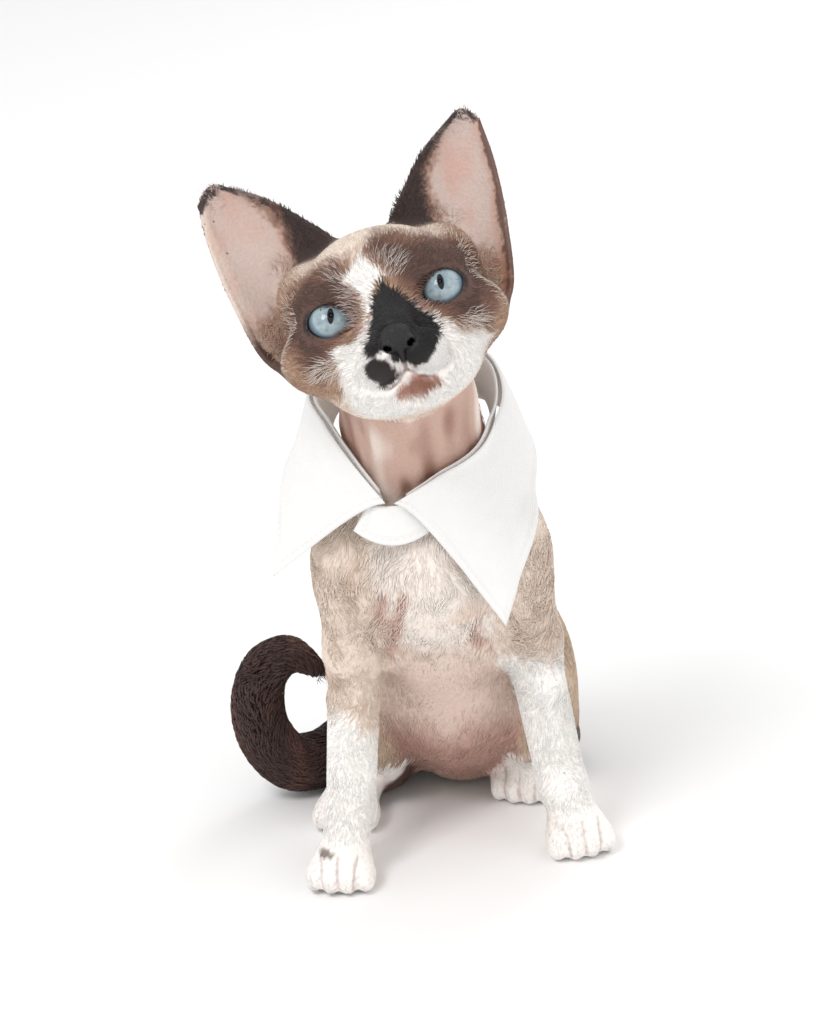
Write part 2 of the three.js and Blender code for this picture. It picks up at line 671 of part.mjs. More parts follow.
function lidOpening(sign) {
  const outline = new THREE.Shape();
  for (let n = 0; n < EYE.corners; n += 1) {
    const angle = (2 * Math.PI * n) / EYE.corners;
    const pinch = 1 - EYE.pinch * Math.abs(Math.cos(angle)) ** 6;
    const x = (EYE.width / 2) * Math.cos(angle);
    const y = (EYE.height / 2) * Math.sin(angle) * pinch;
    outline[n === 0 ? 'moveTo' : 'lineTo'](x, y);
  }
  outline.closePath();
  const depth = 2 * EYE.radius;
  const prism = new THREE.ExtrudeGeometry(outline, { depth, bevelEnabled: false });
  const turn = new THREE.Matrix4().makeRotationX(Math.PI / 2);
  const slant = new THREE.Matrix4().makeRotationY(-sign * EYE.slant);
  const move = new THREE.Matrix4().makeTranslation(sign * EYE.x, -LID_DEPTH, 0);
  return solidOf(prism, headMatrix.clone().multiply(move).multiply(slant).multiply(turn));
}

// The groove from the nose to the lips and along both lips, on the face where each x and z meet it.
function onFace(x, z) {
  let { near, far } = LIP.reach;
  for (let n = 0; n < LIP.reach.halvings; n += 1) {
    const middle = (near + far) / 2;
    if (faceField(Math.abs(x), middle, z) > 0) {
      near = middle;
    } else {
      far = middle;
    }
  }
  return headPoint(vec(x, near, z));
}

function groove(points) {
  const section = new THREE.Shape();
  section.absellipse(0, 0, LIP.radius, LIP.radius, 0, 2 * Math.PI);
  const path = new THREE.CatmullRomCurve3(points.map(([x, z]) => onFace(x, z)));
  return solidOf(new THREE.ExtrudeGeometry(section, {
    steps: points.length * 3, curveSegments: LIP.sides, bevelEnabled: false, extrudePath: path,
  }));
}

const lipSides = [1, -1].map((sign) => groove(LIP.line.map(([x, z]) => [sign * x, z])));
const cuts = [
  noseSolid(NOSE.socket), groove(LIP.philtrum), ...lipSides,
  ball(1, EYE.radius + GAP), ball(-1, EYE.radius + GAP), lidOpening(1), lidOpening(-1),
];
for (const name of ['head', 'muzzle']) {
  solids[name] = cuts.reduce((solid, cut) => solid.subtract(cut), solids[name]);
}

// Ears: thin cups between an inner and an outer rim, cut off where they meet the head.
function earRows(sign) {
  const inner = new THREE.CatmullRomCurve3(EAR.inner);
  const outer = new THREE.CatmullRomCurve3(EAR.outer);
  const rows = [];
  for (let r = 0; r <= EAR.rows; r += 1) {
    const s = r / EAR.rows;
    const row = [];
    for (let c = 0; c <= EAR.columns; c += 1) {
      const u = c / EAR.columns;
      const point = inner.getPoint(s).lerp(outer.getPoint(s), u);
      const arch = Math.sin(Math.PI * u) ** EAR.archPower;
      point.y += EAR.cup * (1 - s) ** EAR.cupFade * arch;
      point.z += EAR.tipRound * s ** EAR.tipPower * Math.sin(Math.PI * u);
      point.x = sign * (point.x - (sign > 0 ? EAR.leftTuck * Math.min(1, 3 * s) * u : 0));
      row.push(headPoint(point));
    }
    rows.push(row);
  }
  return rows;
}

const headShell = (() => {
  const box = regionBox(regions.find(({ name }) => name === 'head').cutter, STEP.head);
  const field = (x, y, z) => headField(x, y, z) - EAR.clearance;
  const shape = thin(meshField(field, box, STEP.head), KEEP_SHELL);
  return toSolid(shape.positions, shape.indices);
})();

// Tail: one length of a round sweep whose radius follows the path, flattened where it lies on the floor.
const tailPath = new THREE.CatmullRomCurve3(TAIL_PATH);

function tailSolid(from, to) {
  const rings = Math.max(TAIL.leastRings, Math.round((to - from) * TAIL.rings));
  const { sides } = TAIL;
  const positions = [];
  const indices = [];
  const turn = new THREE.Quaternion().setFromUnitVectors(up, tailPath.getTangent(from));
  let heading = tailPath.getTangent(from);
  for (let ring = 0; ring <= rings; ring += 1) {
    const t = THREE.MathUtils.lerp(from, to, ring / rings);
    const tangent = tailPath.getTangent(t);
    turn.premultiply(new THREE.Quaternion().setFromUnitVectors(heading, tangent));
    heading = tangent;
    const at = tailPath.getPoint(t);
    const radius = tailRadius(t) * Math.min(1, Math.sqrt((TAIL.round.end - t) / TAIL.round.run));
    for (let side = 0; side < sides; side += 1) {
      const angle = (2 * Math.PI * side) / sides;
      const point = vec(radius * Math.cos(angle), radius * Math.sin(angle), 0).applyQuaternion(turn).add(at);
      positions.push(point.x, point.y, Math.max(point.z, 0));
    }
  }
  for (let ring = 0; ring < rings; ring += 1) {
    for (let side = 0; side < sides; side += 1) {
      const a = ring * sides + side;
      const b = ring * sides + ((side + 1) % sides);
      indices.push(a, b, a + sides, b, b + sides, a + sides);
    }
  }
  for (const [ring, order] of [[0, [0, 2, 1]], [rings, [0, 1, 2]]]) {
    for (let side = 1; side < sides - 1; side += 1) {
      const fan = [0, side, side + 1].map((n) => ring * sides + n);
      indices.push(...order.map((n) => fan[n]));
    }
  }
  return toSolid(positions, indices);
}

function tailRadius(t) {
  const place = t * (TAIL_RADII.length - 1);
  const low = Math.min(Math.floor(place), TAIL_RADII.length - 2);
  return THREE.MathUtils.lerp(TAIL_RADII[low], TAIL_RADII[low + 1], place - low);
}

for (const { name, color } of regions) {
  addNode(name, solids[name], color, 0.9);
}

const fleshShell = (() => {
  const shape = thin(meshField((x, y, z) => flesh(x, y, z) - TAIL.clearance, reach, STEP.limb), KEEP);
  return toSolid(shape.positions, shape.indices);
})();

const tailGap = GAP / tailPath.getLength();
['tail_root', 'tail_middle', 'tail_tip'].forEach((name, n) => {
  const from = n === 0 ? 0 : TAIL_CUTS[n - 1] + tailGap;
  const to = n < TAIL_CUTS.length ? TAIL_CUTS[n] : 1;
  addNode(name, tailSolid(from, to).subtract(fleshShell), COLORS.tail, 0.95);
});

addNode('nose', noseSolid(0), COLORS.black, 0.5);
for (const [side, sign] of [['left', 1], ['right', -1]]) {
  addNode(`ear_${side}`, sheetSolid(earRows(sign), EAR.thickness).subtract(headShell), COLORS.brown, 0.85);
  addNode(`eye_${side}`, ball(sign, EYE.radius), COLORS.eye, 0.1);
}

// Collar sheets, pushed clear of the body wherever the flesh would come through.
function clearOf(point, distance) {
  const tries = 12;
  const e = 0.5;
  for (let n = 0; n < tries; n += 1) {
    const level = flesh(point.x, point.y, point.z);
    if (level >= distance) {
      break;
    }
    const slope = vec(
      flesh(point.x + e, point.y, point.z) - flesh(point.x - e, point.y, point.z),
      flesh(point.x, point.y + e, point.z) - flesh(point.x, point.y - e, point.z),
      flesh(point.x, point.y, point.z + e) - flesh(point.x, point.y, point.z - e),
    ).normalize();
    point.addScaledVector(slope, distance - level);
  }
  return point;
}

function leafRows(fold, free) {
  const { leafRows: rows, leafColumns: columns } = COLLAR;
  const top = new THREE.CatmullRomCurve3(fold);
  const bottom = new THREE.CatmullRomCurve3(free);
  const grid = [];
  for (let r = 0; r <= rows; r += 1) {
    const s = r / rows;
    const row = [];
    for (let c = 0; c <= columns; c += 1) {
      const u = c / columns;
      const from = top.getPoint(u);
      const to = bottom.getPoint(u);
      const out = to.clone().sub(from).setZ(0).normalize();
      const swell = Math.sin(Math.PI * Math.sqrt(s));
      const point = from.lerp(to, s).addScaledVector(out, COLLAR.roll * swell);
      point.z += COLLAR.rise * swell;
      const below = Math.min(1, 2 * s);
      row.push(clearOf(point, THREE.MathUtils.lerp(COLLAR.foldClearance, COLLAR.clearance, below)));
    }
    grid.push(row);
  }
  return grid;
}

// The stand rises inside the fold and leans in to the neck; its ends meet at the V.
function standRows() {
  const fold = [...COLLAR.foldLeft.slice(0, -1), ...COLLAR.foldRight.slice(0, -1).reverse()];
  const curve = new THREE.CatmullRomCurve3(fold);
  const middle = fold.reduce((sum, point) => sum.add(point), vec(0, 0, 0)).divideScalar(fold.length);
  const { height, inset, lean, clearance, endShare, rows, columns } = COLLAR.stand;
  const grid = [];
  for (let r = 0; r <= rows; r += 1) {
    const down = r / rows;
    const row = [];
    for (let c = 0; c <= columns; c += 1) {
      const point = curve.getPoint(THREE.MathUtils.lerp(endShare, 1 - endShare, c / columns));
      const inward = middle.clone().sub(point).setZ(0).normalize();
      point.addScaledVector(inward, inset + lean * down).addScaledVector(neckAxis, -height * down);
      row.push(clearOf(point, clearance));
    }
    grid.push(row);
  }
  return grid;
}

// The front piece lies on the breast under the V.
function frontRows() {
  const { at, top, drop, half, topShare, curve, slope, crown, clearance, rows, columns } = COLLAR.front;
  const grid = [];
  for (let r = 0; r <= rows; r += 1) {
    const row = [];
    for (let c = 0; c <= columns; c += 1) {
      const across = 2 * c / columns - 1;
      const bow = across * across;
      const down = top + (drop - top) * (r / rows) * (1 - curve * bow);
      const width = half * THREE.MathUtils.lerp(topShare, 1, r / rows);
      const point = at.clone().add(vec(width * across, slope * down + crown * bow, -down));
      row.push(clearOf(point, clearance));
    }
    grid.push(row);
  }
  return grid;
}

// Each sheet is cut clear of those named before it.
const sheets = [
  ['collar_leaf_left', leafRows(COLLAR.foldLeft, COLLAR.freeLeft)],
  ['collar_leaf_right', leafRows(COLLAR.foldRight, COLLAR.freeRight)],
  ['collar_stand', standRows()],
  ['collar_front', frontRows()],
];
sheets.forEach(([name, rows], order) => {
  let solid = sheetSolid(rows, COLLAR.thickness);
  for (const [, earlier] of sheets.slice(0, order)) {
    solid = solid.subtract(sheetSolid(earlier, COLLAR.thickness + 3 * GAP));
  }
  addNode(name, solid, COLORS.cloth, 0.8);
});

// The origin stands under the middle of the model's box, on the floor.
const bounds = new THREE.Box3().setFromObject(group);
const middle = bounds.getCenter(vec(0, 0, 0));
group.position.set(-middle.x, -middle.y, 0);

export default group;
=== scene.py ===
"""A young Devon Rex cat with a white cloth collar, sitting.

Lengths are millimetres in the cat's own frame until they reach a mesh: +Z is up, the cat looks along -Y, and
its left side is +X.
"""
import math
import bpy
import numpy as np
from mathutils import Matrix, Vector
from mathutils.bvhtree import BVHTree


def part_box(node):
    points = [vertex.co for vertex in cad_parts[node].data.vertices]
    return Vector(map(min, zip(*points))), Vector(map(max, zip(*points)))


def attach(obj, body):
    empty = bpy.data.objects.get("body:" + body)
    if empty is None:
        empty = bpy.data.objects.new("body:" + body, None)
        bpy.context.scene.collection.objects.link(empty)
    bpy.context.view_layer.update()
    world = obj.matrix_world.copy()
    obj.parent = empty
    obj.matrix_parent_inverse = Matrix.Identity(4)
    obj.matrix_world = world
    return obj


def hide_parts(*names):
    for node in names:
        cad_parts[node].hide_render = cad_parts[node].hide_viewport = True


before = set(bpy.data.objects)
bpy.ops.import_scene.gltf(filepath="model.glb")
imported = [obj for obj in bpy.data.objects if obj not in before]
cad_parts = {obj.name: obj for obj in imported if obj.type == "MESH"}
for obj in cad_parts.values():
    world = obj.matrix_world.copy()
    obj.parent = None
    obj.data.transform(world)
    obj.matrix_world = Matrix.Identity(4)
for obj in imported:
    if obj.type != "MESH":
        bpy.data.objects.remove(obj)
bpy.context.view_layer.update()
DEG = math.pi / 180
MM = 0.001
FAR = 60.0
rng = np.random.default_rng(7)


def vec(*values):
    return np.array(values, float)


# Forms.
TRUNK = [
    (vec(0, 27, 108), vec(33, 37, 50), 1), (vec(0, -1, 122), vec(24, 24, 30), 12),
    (vec(0, 31, 138), vec(27, 26, 26), 12), (vec(0, 52, 66), vec(33, 38, 48), 12),
    (vec(0, 76, 42), vec(31, 35, 42.5), 12),
]
NECK = (vec(-2, 14, 150), vec(-3, -14, 205), 29, 24.6)
FRONT = {
    1: dict(shoulder=vec(30, 5, 124), elbow=vec(33.5, 14, 86), wrist=vec(42, 10, 26), paw=vec(46.5, 7, 0),
            heading=16),
    -1: dict(shoulder=vec(-30, 1, 124), elbow=vec(-32, 8, 88), wrist=vec(-38, -5, 26),
             paw=vec(-41.5, -14.5, 0), heading=-5),
}
HIND = {
    1: dict(haunch=vec(29, 72, 39.5), knee=vec(35, 44, 50), hock=vec(36, 88, 10), paw=vec(26, 56, 0),
            heading=-14),
    -1: dict(haunch=vec(-30, 72, 39.5), knee=vec(-37, 42, 50), hock=vec(-34, 74, 10), paw=vec(-44, 37, 0),
             heading=-8),
}
SHOULDER = vec(14.5, 19, 27)
HAUNCH = vec(19, 36, 40)
HEAD_AT = vec(-4.2, -36.7, 234.3)
HEAD_TURN = (Matrix.Rotation(4.1 * DEG, 3, "Z") @ Matrix.Rotation(-28.8 * DEG, 3, "X")
             @ Matrix.Rotation(-13 * DEG, 3, "Y"))
HEAD_R = np.array(HEAD_TURN)
EYE_X = 20.7
EYE_R = 9.5
TAIL = np.array([(0, 96, 26), (-8, 113, 17), (-28, 111, 12.5), (-45, 93, 12), (-57, 72, 12), (-69, 63, 15),
                 (-78, 59, 29), (-79, 57, 46), (-74, 55.5, 59.5), (-65, 55, 65), (-53, 54, 59)], float)
TAIL_R = np.array([13, 12, 12, 12, 12, 11.8, 11.4, 10.8, 9.8, 8, 3.8])


def catmull(points, t):
    """Centripetal Catmull-Rom through the points, at each t from 0 to 1."""
    points = np.asarray(points, float)
    last = len(points) - 1
    place = np.clip(np.asarray(t, float), 0, 1) * last
    i = np.minimum(place.astype(int), last - 1)
    w = (place - i)[:, None]
    ends = np.vstack([2 * points[0] - points[1], points, 2 * points[-1] - points[-2]])
    p0, p1, p2, p3 = ends[i], ends[i + 1], ends[i + 2], ends[i + 3]
    d0, d1, d2 = (np.sqrt(np.linalg.norm(b - a, axis=1))[:, None] for a, b in ((p0, p1), (p1, p2), (p2, p3)))
    t1 = ((p1 - p0) / d0 - (p2 - p0) / (d0 + d1) + (p2 - p1) / d1) * d1
    t2 = ((p2 - p1) / d1 - (p3 - p1) / (d1 + d2) + (p3 - p2) / d2) * d1
    return p1 + t1 * w + (-3 * p1 + 3 * p2 - 2 * t1 - t2) * w**2 + (2 * p1 - 2 * p2 + t1 + t2) * w**3


def ellipsoid(at, radii):
    def field(p):
        q = (p - at) / radii
        level = np.sqrt((q * q).sum(1))
        s = q / radii
        return level * (level - 1) / np.maximum(np.sqrt((s * s).sum(1)), 1e-9)
    return field, at - radii, at + radii


def taper(a, b, ra, rb):
    axis = b - a
    squared = axis @ axis

    def field(p):
        t = np.clip(((p - a) @ axis) / squared, 0, 1)
        d = p - a - t[:, None] * axis
        return np.sqrt((d * d).sum(1)) - (ra + (rb - ra) * t)
    r = max(ra, rb)
    return field, np.minimum(a, b) - r, np.maximum(a, b) + r


def smooth_min(a, b, width):
    h = np.maximum(width - np.abs(a - b), 0) / width
    return np.minimum(a, b) - h * h * width / 4


def joined(*parts):
    """Parts are (form, blend); a form far from all the points is left out."""
    lo = np.min([form[1] for form, _ in parts], axis=0)
    hi = np.max([form[2] for form, _ in parts], axis=0)

    def field(p):
        near, far = p.min(0), p.max(0)
        level = None
        for (f, a, b), blend in parts:
            if (a - blend - 8 > far).any() or (b + blend + 8 < near).any():
                continue
            value = f(p)
            level = value if level is None else smooth_min(level, value, blend)
        return np.full(len(p), FAR) if level is None else level
    return field, lo, hi


def placed(form, rotation, at):
    field, lo, hi = form
    corners = np.array([[x, y, z] for x in (lo[0], hi[0]) for y in (lo[1], hi[1]) for z in (lo[2], hi[2])])
    corners = corners @ rotation.T + at
    return (lambda p: field((p - at) @ rotation)), corners.min(0), corners.max(0)


def flipped(p):
    return np.column_stack([np.abs(p[:, 0]), p[:, 1:]])


def mirrored(form):
    field, lo, hi = form
    reach = max(abs(lo[0]), abs(hi[0]))
    return (lambda p: field(flipped(p))), vec(-reach, *lo[1:]), vec(reach, *hi[1:])


def turn_z(degrees):
    c, s = math.cos(degrees * DEG), math.sin(degrees * DEG)
    return np.array([[c, -s, 0], [s, c, 0], [0, 0, 1]])


def paw_form(leg):
    parts = [(ellipsoid(vec(0, 1.5, 8.55), vec(11.5, 13.5, 9.25)), 1)]
    for toe in range(4):
        across = toe - 1.5
        reach = 8.6 - abs(across) * 2
        parts.append((ellipsoid(vec(across * 6.6, -reach, 5.6), vec(4.3, 8.2, 6.2)), 4.2))
    return placed(joined(*parts), turn_z(leg["heading"]), leg["paw"])


def front_form(leg):
    return joined(
        (ellipsoid(leg["shoulder"], SHOULDER), 1), (taper(leg["shoulder"], leg["elbow"], 13, 13), 8),
        (taper(leg["elbow"], leg["wrist"], 11.2, 10.4), 6),
        (taper(leg["wrist"], leg["paw"] + vec(0, 0, 11), 10.4, 9.4), 3), (paw_form(leg), 5))


def hind_form(leg):
    return joined(
        (ellipsoid(leg["haunch"], HAUNCH), 1), (taper(leg["haunch"], leg["knee"], 13, 13), 8),
        (taper(leg["knee"], leg["hock"], 11, 9.5), 6),
        (taper(leg["hock"], leg["paw"] + vec(0, 0, 9), 10, 9.5), 4),
        (paw_form(leg), 4))


FACE = joined(
    (ellipsoid(vec(0, 17, 3), vec(32, 32, 28.5)), 1), (ellipsoid(vec(0, 3, 13), vec(24, 14, 15)), 9),
    (ellipsoid(vec(0, 3, -24), vec(27, 21, 14.5)), 10), (ellipsoid(vec(21.5, 8, -9), vec(20, 17, 14.5)), 9),
    (ellipsoid(vec(17.5, -2, 10), vec(14, 8.5, 6.5)), 6), (ellipsoid(vec(25, 19, 14), vec(12, 11, 14)), 8),
    (taper(vec(0, -3, 6), vec(0, -18.5, -11), 10, 7.4), 6),
    (ellipsoid(vec(7.2, -16.5, -21), vec(9.6, 10, 8)), 4),
    (ellipsoid(vec(3.5, -13, -33.5), vec(6.5, 8.5, 7)), 3.5),
    (ellipsoid(vec(EYE_X, 0, 0), vec(1, 1, 1) * (EYE_R + 1.3)), 2.5))
HEAD = placed(mirrored(FACE), HEAD_R, HEAD_AT)
TRUNK_FORM = joined(*[(ellipsoid(at, radii), blend) for at, radii, blend in TRUNK])
NECK_FORM = taper(*NECK)
FRONT_FORMS = {side: front_form(FRONT[side]) for side in (1, -1)}
HIND_FORMS = {side: hind_form(HIND[side]) for side in (1, -1)}
FLESH = joined((TRUNK_FORM, 1), (FRONT_FORMS[1], 9), (FRONT_FORMS[-1], 9), (HIND_FORMS[1], 8),
               (HIND_FORMS[-1], 8),
               (NECK_FORM, 12), (HEAD, 10))


def to_head(p):
    return (p - HEAD_AT) @ HEAD_R


def from_head(p):
    return p @ HEAD_R.T + HEAD_AT


# Ears, eyes, mouth.
EAR_INNER = [(5, 12, 19), (10.5, 8, 30), (20.5, 9, 42.5), (31, 11, 53.5), (42, 12, 61)]
EAR_OUTER = [(36, 10, -14), (45.5, 12, -3), (50.5, 14, 18), (53, 14, 42), (52.5, 12.5, 57.5)]


def ear_sheet(side, s, u):
    """An ear's middle surface, in the head's frame: s runs from root to tip, u from inner to outer rim."""
    point = catmull(EAR_INNER, s) * (1 - u[:, None]) + catmull(EAR_OUTER, s) * u[:, None]
    arch = np.sin(np.pi * u)
    point[:, 1] += 17 * (1 - s)**0.75 * np.clip(arch, 0, 1)**0.8
    point[:, 2] += 3.4 * s**6 * arch
    if side > 0:
        point[:, 0] -= 1.5 * np.minimum(1, 3 * s) * u
    point[:, 0] *= side
    return point


class Ear:
    """An ear's distance field: a sheet, thin at its edge and thick at its root."""

    def __init__(self, side, rows=64, columns=56):
        s, u = np.meshgrid(np.linspace(0, 1, rows + 1), np.linspace(0, 1, columns + 1), indexing="ij")
        self.side, self.rows, self.columns = side, rows, columns
        self.points = from_head(ear_sheet(side, s.ravel(), u.ravel()))
        quads = [(r * (columns + 1) + c, r * (columns + 1) + c + 1, (r + 1) * (columns + 1) + c + 1,
                  (r + 1) * (columns + 1) + c) for r in range(rows) for c in range(columns)]
        self.tree = BVHTree.FromPolygons([tuple(p) for p in self.points], quads)
        self.lo, self.hi = self.points.min(0), self.points.max(0)

    def nearest(self, p):
        """For each point its distance from the sheet and its place (s, u) on it."""
        distance = np.full(len(p), FAR)
        place = np.zeros((len(p), 2))
        close = np.where(((p > self.lo - 6) & (p < self.hi + 6)).all(1))[0]
        for n in close:
            found = self.tree.find_nearest(p[n], 12)
            if found[2] is not None:
                distance[n] = found[3]
                row, column = divmod(found[2], self.columns)
                place[n] = (row + 0.5) / self.rows, (column + 0.5) / self.columns
        return distance, place

    def form(self):
        def field(p):
            distance, place = self.nearest(p)
            s, u = place[:, 0], place[:, 1]
            rim = np.minimum(np.minimum(u, 1 - u) * 9, (1 - s) * 14)
            half = 0.66 + 0.26 * np.clip(1 - s, 0, 1) + 0.2 * np.clip(1 - np.abs(rim - 0.6), 0, 1)
            return distance - half
        return field, self.lo - 2, self.hi + 2


EARS = {side: Ear(side) for side in (1, -1)}


def chain(points, radii):
    """Rounded tapers end to end."""
    forms = [taper(a, b, ra, rb) for a, b, ra, rb in zip(points[:-1], points[1:], radii[:-1], radii[1:])]
    lo = np.min([f[1] for f in forms], axis=0)
    hi = np.max([f[2] for f in forms], axis=0)

    def field(p):
        near, far = p.min(0), p.max(0)
        level = np.full(len(p), FAR)
        for f, a, b in forms:
            if (a - 8 <= far).all() and (b + 8 >= near).all():
                level = np.minimum(level, f(p))
        return level
    return field, lo, hi


TAIL_T = np.linspace(0, 1, 61)
TAIL_LINE = catmull(TAIL, TAIL_T)
TAIL_END = np.minimum(1, np.sqrt((1.02 - TAIL_T) / 0.04))
TAIL_WIDTH = np.interp(TAIL_T * (len(TAIL) - 1), range(len(TAIL)), TAIL_R) * TAIL_END


def on_face(x, z, level=0.0, form=FACE):
    """The front of the face, or of another mirrored form, over each (x, z) of the head's frame."""
    x, z = np.broadcast_arrays(np.asarray(x, float), np.asarray(z, float))
    near, far = np.full(x.shape, -45.0), np.full(x.shape, 5.0)
    for _ in range(24):
        middle = (near + far) / 2
        outside = form[0](np.column_stack([np.abs(x), middle, z])) > level
        near, far = np.where(outside, middle, near), np.where(outside, far, middle)
    return np.column_stack([x, near, z])


LID_INNER, LID_OUTER, LID_HALF = 9.1, 7.9, 6.4
LID_TILT = 8 * DEG
LID_PINCH = 0.18
LID_DROP, DROP_START = 1.6, 0.55
LID_RIM = 0.52
TEAR_FLARE = 0.35


def lid_outline(side, count=48):
    """The almond edge of the lids on the eyeball, in the head's frame."""
    angle = np.linspace(0, 2 * np.pi, count, endpoint=False)
    turn = np.cos(angle)
    pinch = 1 - LID_PINCH * np.abs(turn)**6
    across = np.where(turn < 0, LID_INNER, LID_OUTER) * turn
    up = LID_HALF * np.sin(angle) * pinch
    up = np.where(turn < -DROP_START, up - LID_DROP * (-turn - DROP_START), up)
    c, s = math.cos(LID_TILT), math.sin(LID_TILT)
    x, z = across * c - up * s, across * s + up * c
    y = -np.sqrt(np.maximum((EYE_R + 0.15)**2 - x**2 - z**2, 0))
    return np.column_stack([side * (EYE_X + x), y, z])


def loop_form(points, radius):
    closed = np.vstack([points, points[:1]])
    return chain(closed, np.full(len(closed), radius))


LID_LINES = {side: from_head(lid_outline(side)) for side in (1, -1)}
SOCKETS = [ellipsoid(from_head(vec(side * EYE_X, 0, 0)), vec(1, 1, 1) * (EYE_R + 0.1)) for side in (1, -1)]
LIDS = [loop_form(LID_LINES[side], LID_RIM) for side in (1, -1)]


def lid_prism(side):
    """The opening between the lids, as a field in the head's frame."""
    def field(p):
        h = to_head(p)
        x, z = side * h[:, 0] - EYE_X, h[:, 2]
        c, s = math.cos(LID_TILT), math.sin(LID_TILT)
        across, up = x * c + z * s, z * c - x * s
        half = np.where(across < 0, LID_INNER + TEAR_FLARE * np.clip(-h[:, 1] - 4, 0, 9), LID_OUTER)
        up = up + np.where(across < -5.0, LID_DROP * (-across / LID_INNER - DROP_START), 0)
        angle = np.arctan2(up / LID_HALF, across / half)
        pinch = 1 - LID_PINCH * np.abs(np.cos(angle))**6
        level = (np.sqrt((across / half)**2 + (up / (LID_HALF * pinch))**2) - 1) * LID_HALF
        return np.where(h[:, 1] < -3, level, FAR)
    centre = from_head(vec(side * EYE_X, -8, 0))
    return field, centre - 16, centre + 16


PRISMS = [lid_prism(1), lid_prism(-1)]
LIP_LINE = [(0.3, -26.8), (4, -29.4), (8.5, -30.6), (13, -29.2), (16, -26.8)]


def lip_points(side):
    line = catmull([(x, 0, z) for x, z in LIP_LINE], np.linspace(0, 1, 25))
    return from_head(on_face(side * line[:, 0], line[:, 2], -0.15))


LIP_WIDTH = np.concatenate([np.full(10, 0.55), np.linspace(0.55, 0.08, 15)])
LIPS = [chain(lip_points(side), LIP_WIDTH) for side in (1, -1)]
PHILTRUM = chain(from_head(on_face(np.zeros(8), np.linspace(-22.5, -26.8, 8), -0.1)), np.full(8, 0.4))
COLUMELLA = on_face([0, 0], [-17, -23.2], 0.0)
NOSE_FORM = joined(
    (ellipsoid(vec(0, -23.5, -14.2), vec(5.3, 4.1, 4.2)), 1.5),
    (ellipsoid(vec(3.7, -23.3, -18.0), vec(2.8, 3.7, 2.9)), 1.6),
    (taper(COLUMELLA[0] - vec(0, 0.9, 0), COLUMELLA[1] + vec(0, 0.3, 0), 2.3, 1.1), 1.6))
NOSE = placed(mirrored(NOSE_FORM), HEAD_R, HEAD_AT)
EAR_FORMS = [EARS[1].form(), EARS[-1].form()]
TAIL_FORM = chain(TAIL_LINE, TAIL_WIDTH)


def slope_of(field, p, e=0.3):
    """The outward direction of a field at each point."""
    out = np.column_stack([field(p + step) - field(p - step) for step in np.eye(3) * e])
    return out / np.maximum(np.linalg.norm(out, axis=1), 1e-9)[:, None]


def onto(p, level):
    """The points moved on to the flesh's surface at the given depth."""
    for _ in range(4):
        p = p + slope_of(FLESH[0], p) * (level - FLESH[0](p))[:, None]
    return p


FOLD_LINES = {
    -1: [[(-17, -16, 117), (-21, -10, 106), (-24, -4, 95), (-21, 0, 86)],
         [(-9, -22, 119), (-13, -17, 107), (-16, -8, 97), (-20, 0, 87)]],
    1: [[(25, -10, 112), (29, -4, 101), (31, 1, 90)],
        [(15, -9, 103), (14, -7, 96), (19, -2, 89)]],
}
FOLD_WIDTH = 1.0 - 0.5 * np.abs(np.linspace(-1, 1, 16))
FOLDS = {}
for fold_side, fold_lines in FOLD_LINES.items():
    FOLDS[fold_side] = []
    for fold_number, fold_line in enumerate(fold_lines):
        ridge = onto(catmull(fold_line, np.linspace(0, 1, 16)), -0.7)
        FOLDS[fold_side].append((chain(ridge, FOLD_WIDTH), 1.0 if fold_number == 0 else 0.7))


def toe_lines(leg, form):
    """The creases between the toes of a paw."""
    lines = []
    for across in (-1, 0, 1):
        reach = 8.6 + 8.2 - 1.4 - abs(across) * 1.6
        local = [vec(across * 6.6, -reach, 1.5), vec(across * 6.6, -reach + 0.2, 6),
                 vec(across * 6.4, -reach + 2.5, 9.5), vec(across * 6.0, -reach + 5.5, 11.5),
                 vec(across * 5.6, -reach + 9, 13)]
        path = catmull(local, np.linspace(0, 1, 12)) @ turn_z(leg["heading"]).T + leg["paw"]
        for _ in range(4):
            path = path + slope_of(form[0], path) * (-0.75 - form[0](path))[:, None]
        path[:, 2] = np.maximum(path[:, 2], 0.8)
        lines.append(chain(path, np.linspace(0.42, 0.2, 12)))
    return lines


TOE_LINES = [line for side in (1, -1) for line in (
    *toe_lines(FRONT[side], FRONT_FORMS[side]), *toe_lines(HIND[side], HIND_FORMS[side]))]


def near_box(p, form, margin=3.0):
    lo, hi = form[1] - margin, form[2] + margin
    return (p.max(0) > lo).all() and (p.min(0) < hi).all()


def coat_depth(p):
    """How far the skin lies under the solids' surface: most on the trunk, least on the face and paws."""
    face = 1 / (1 + np.exp((HEAD[0](p) - 4) / 2))
    paw = np.clip((24 - p[:, 2]) / 10, 0, 1)
    return 1.2 - 0.6 * np.maximum(face, 0.6 * paw)


WAVE = vec(15, 13, 6)
WRINKLE = vec(4.6, 9, 26)
CURL = vec(5, 8, 3.2)


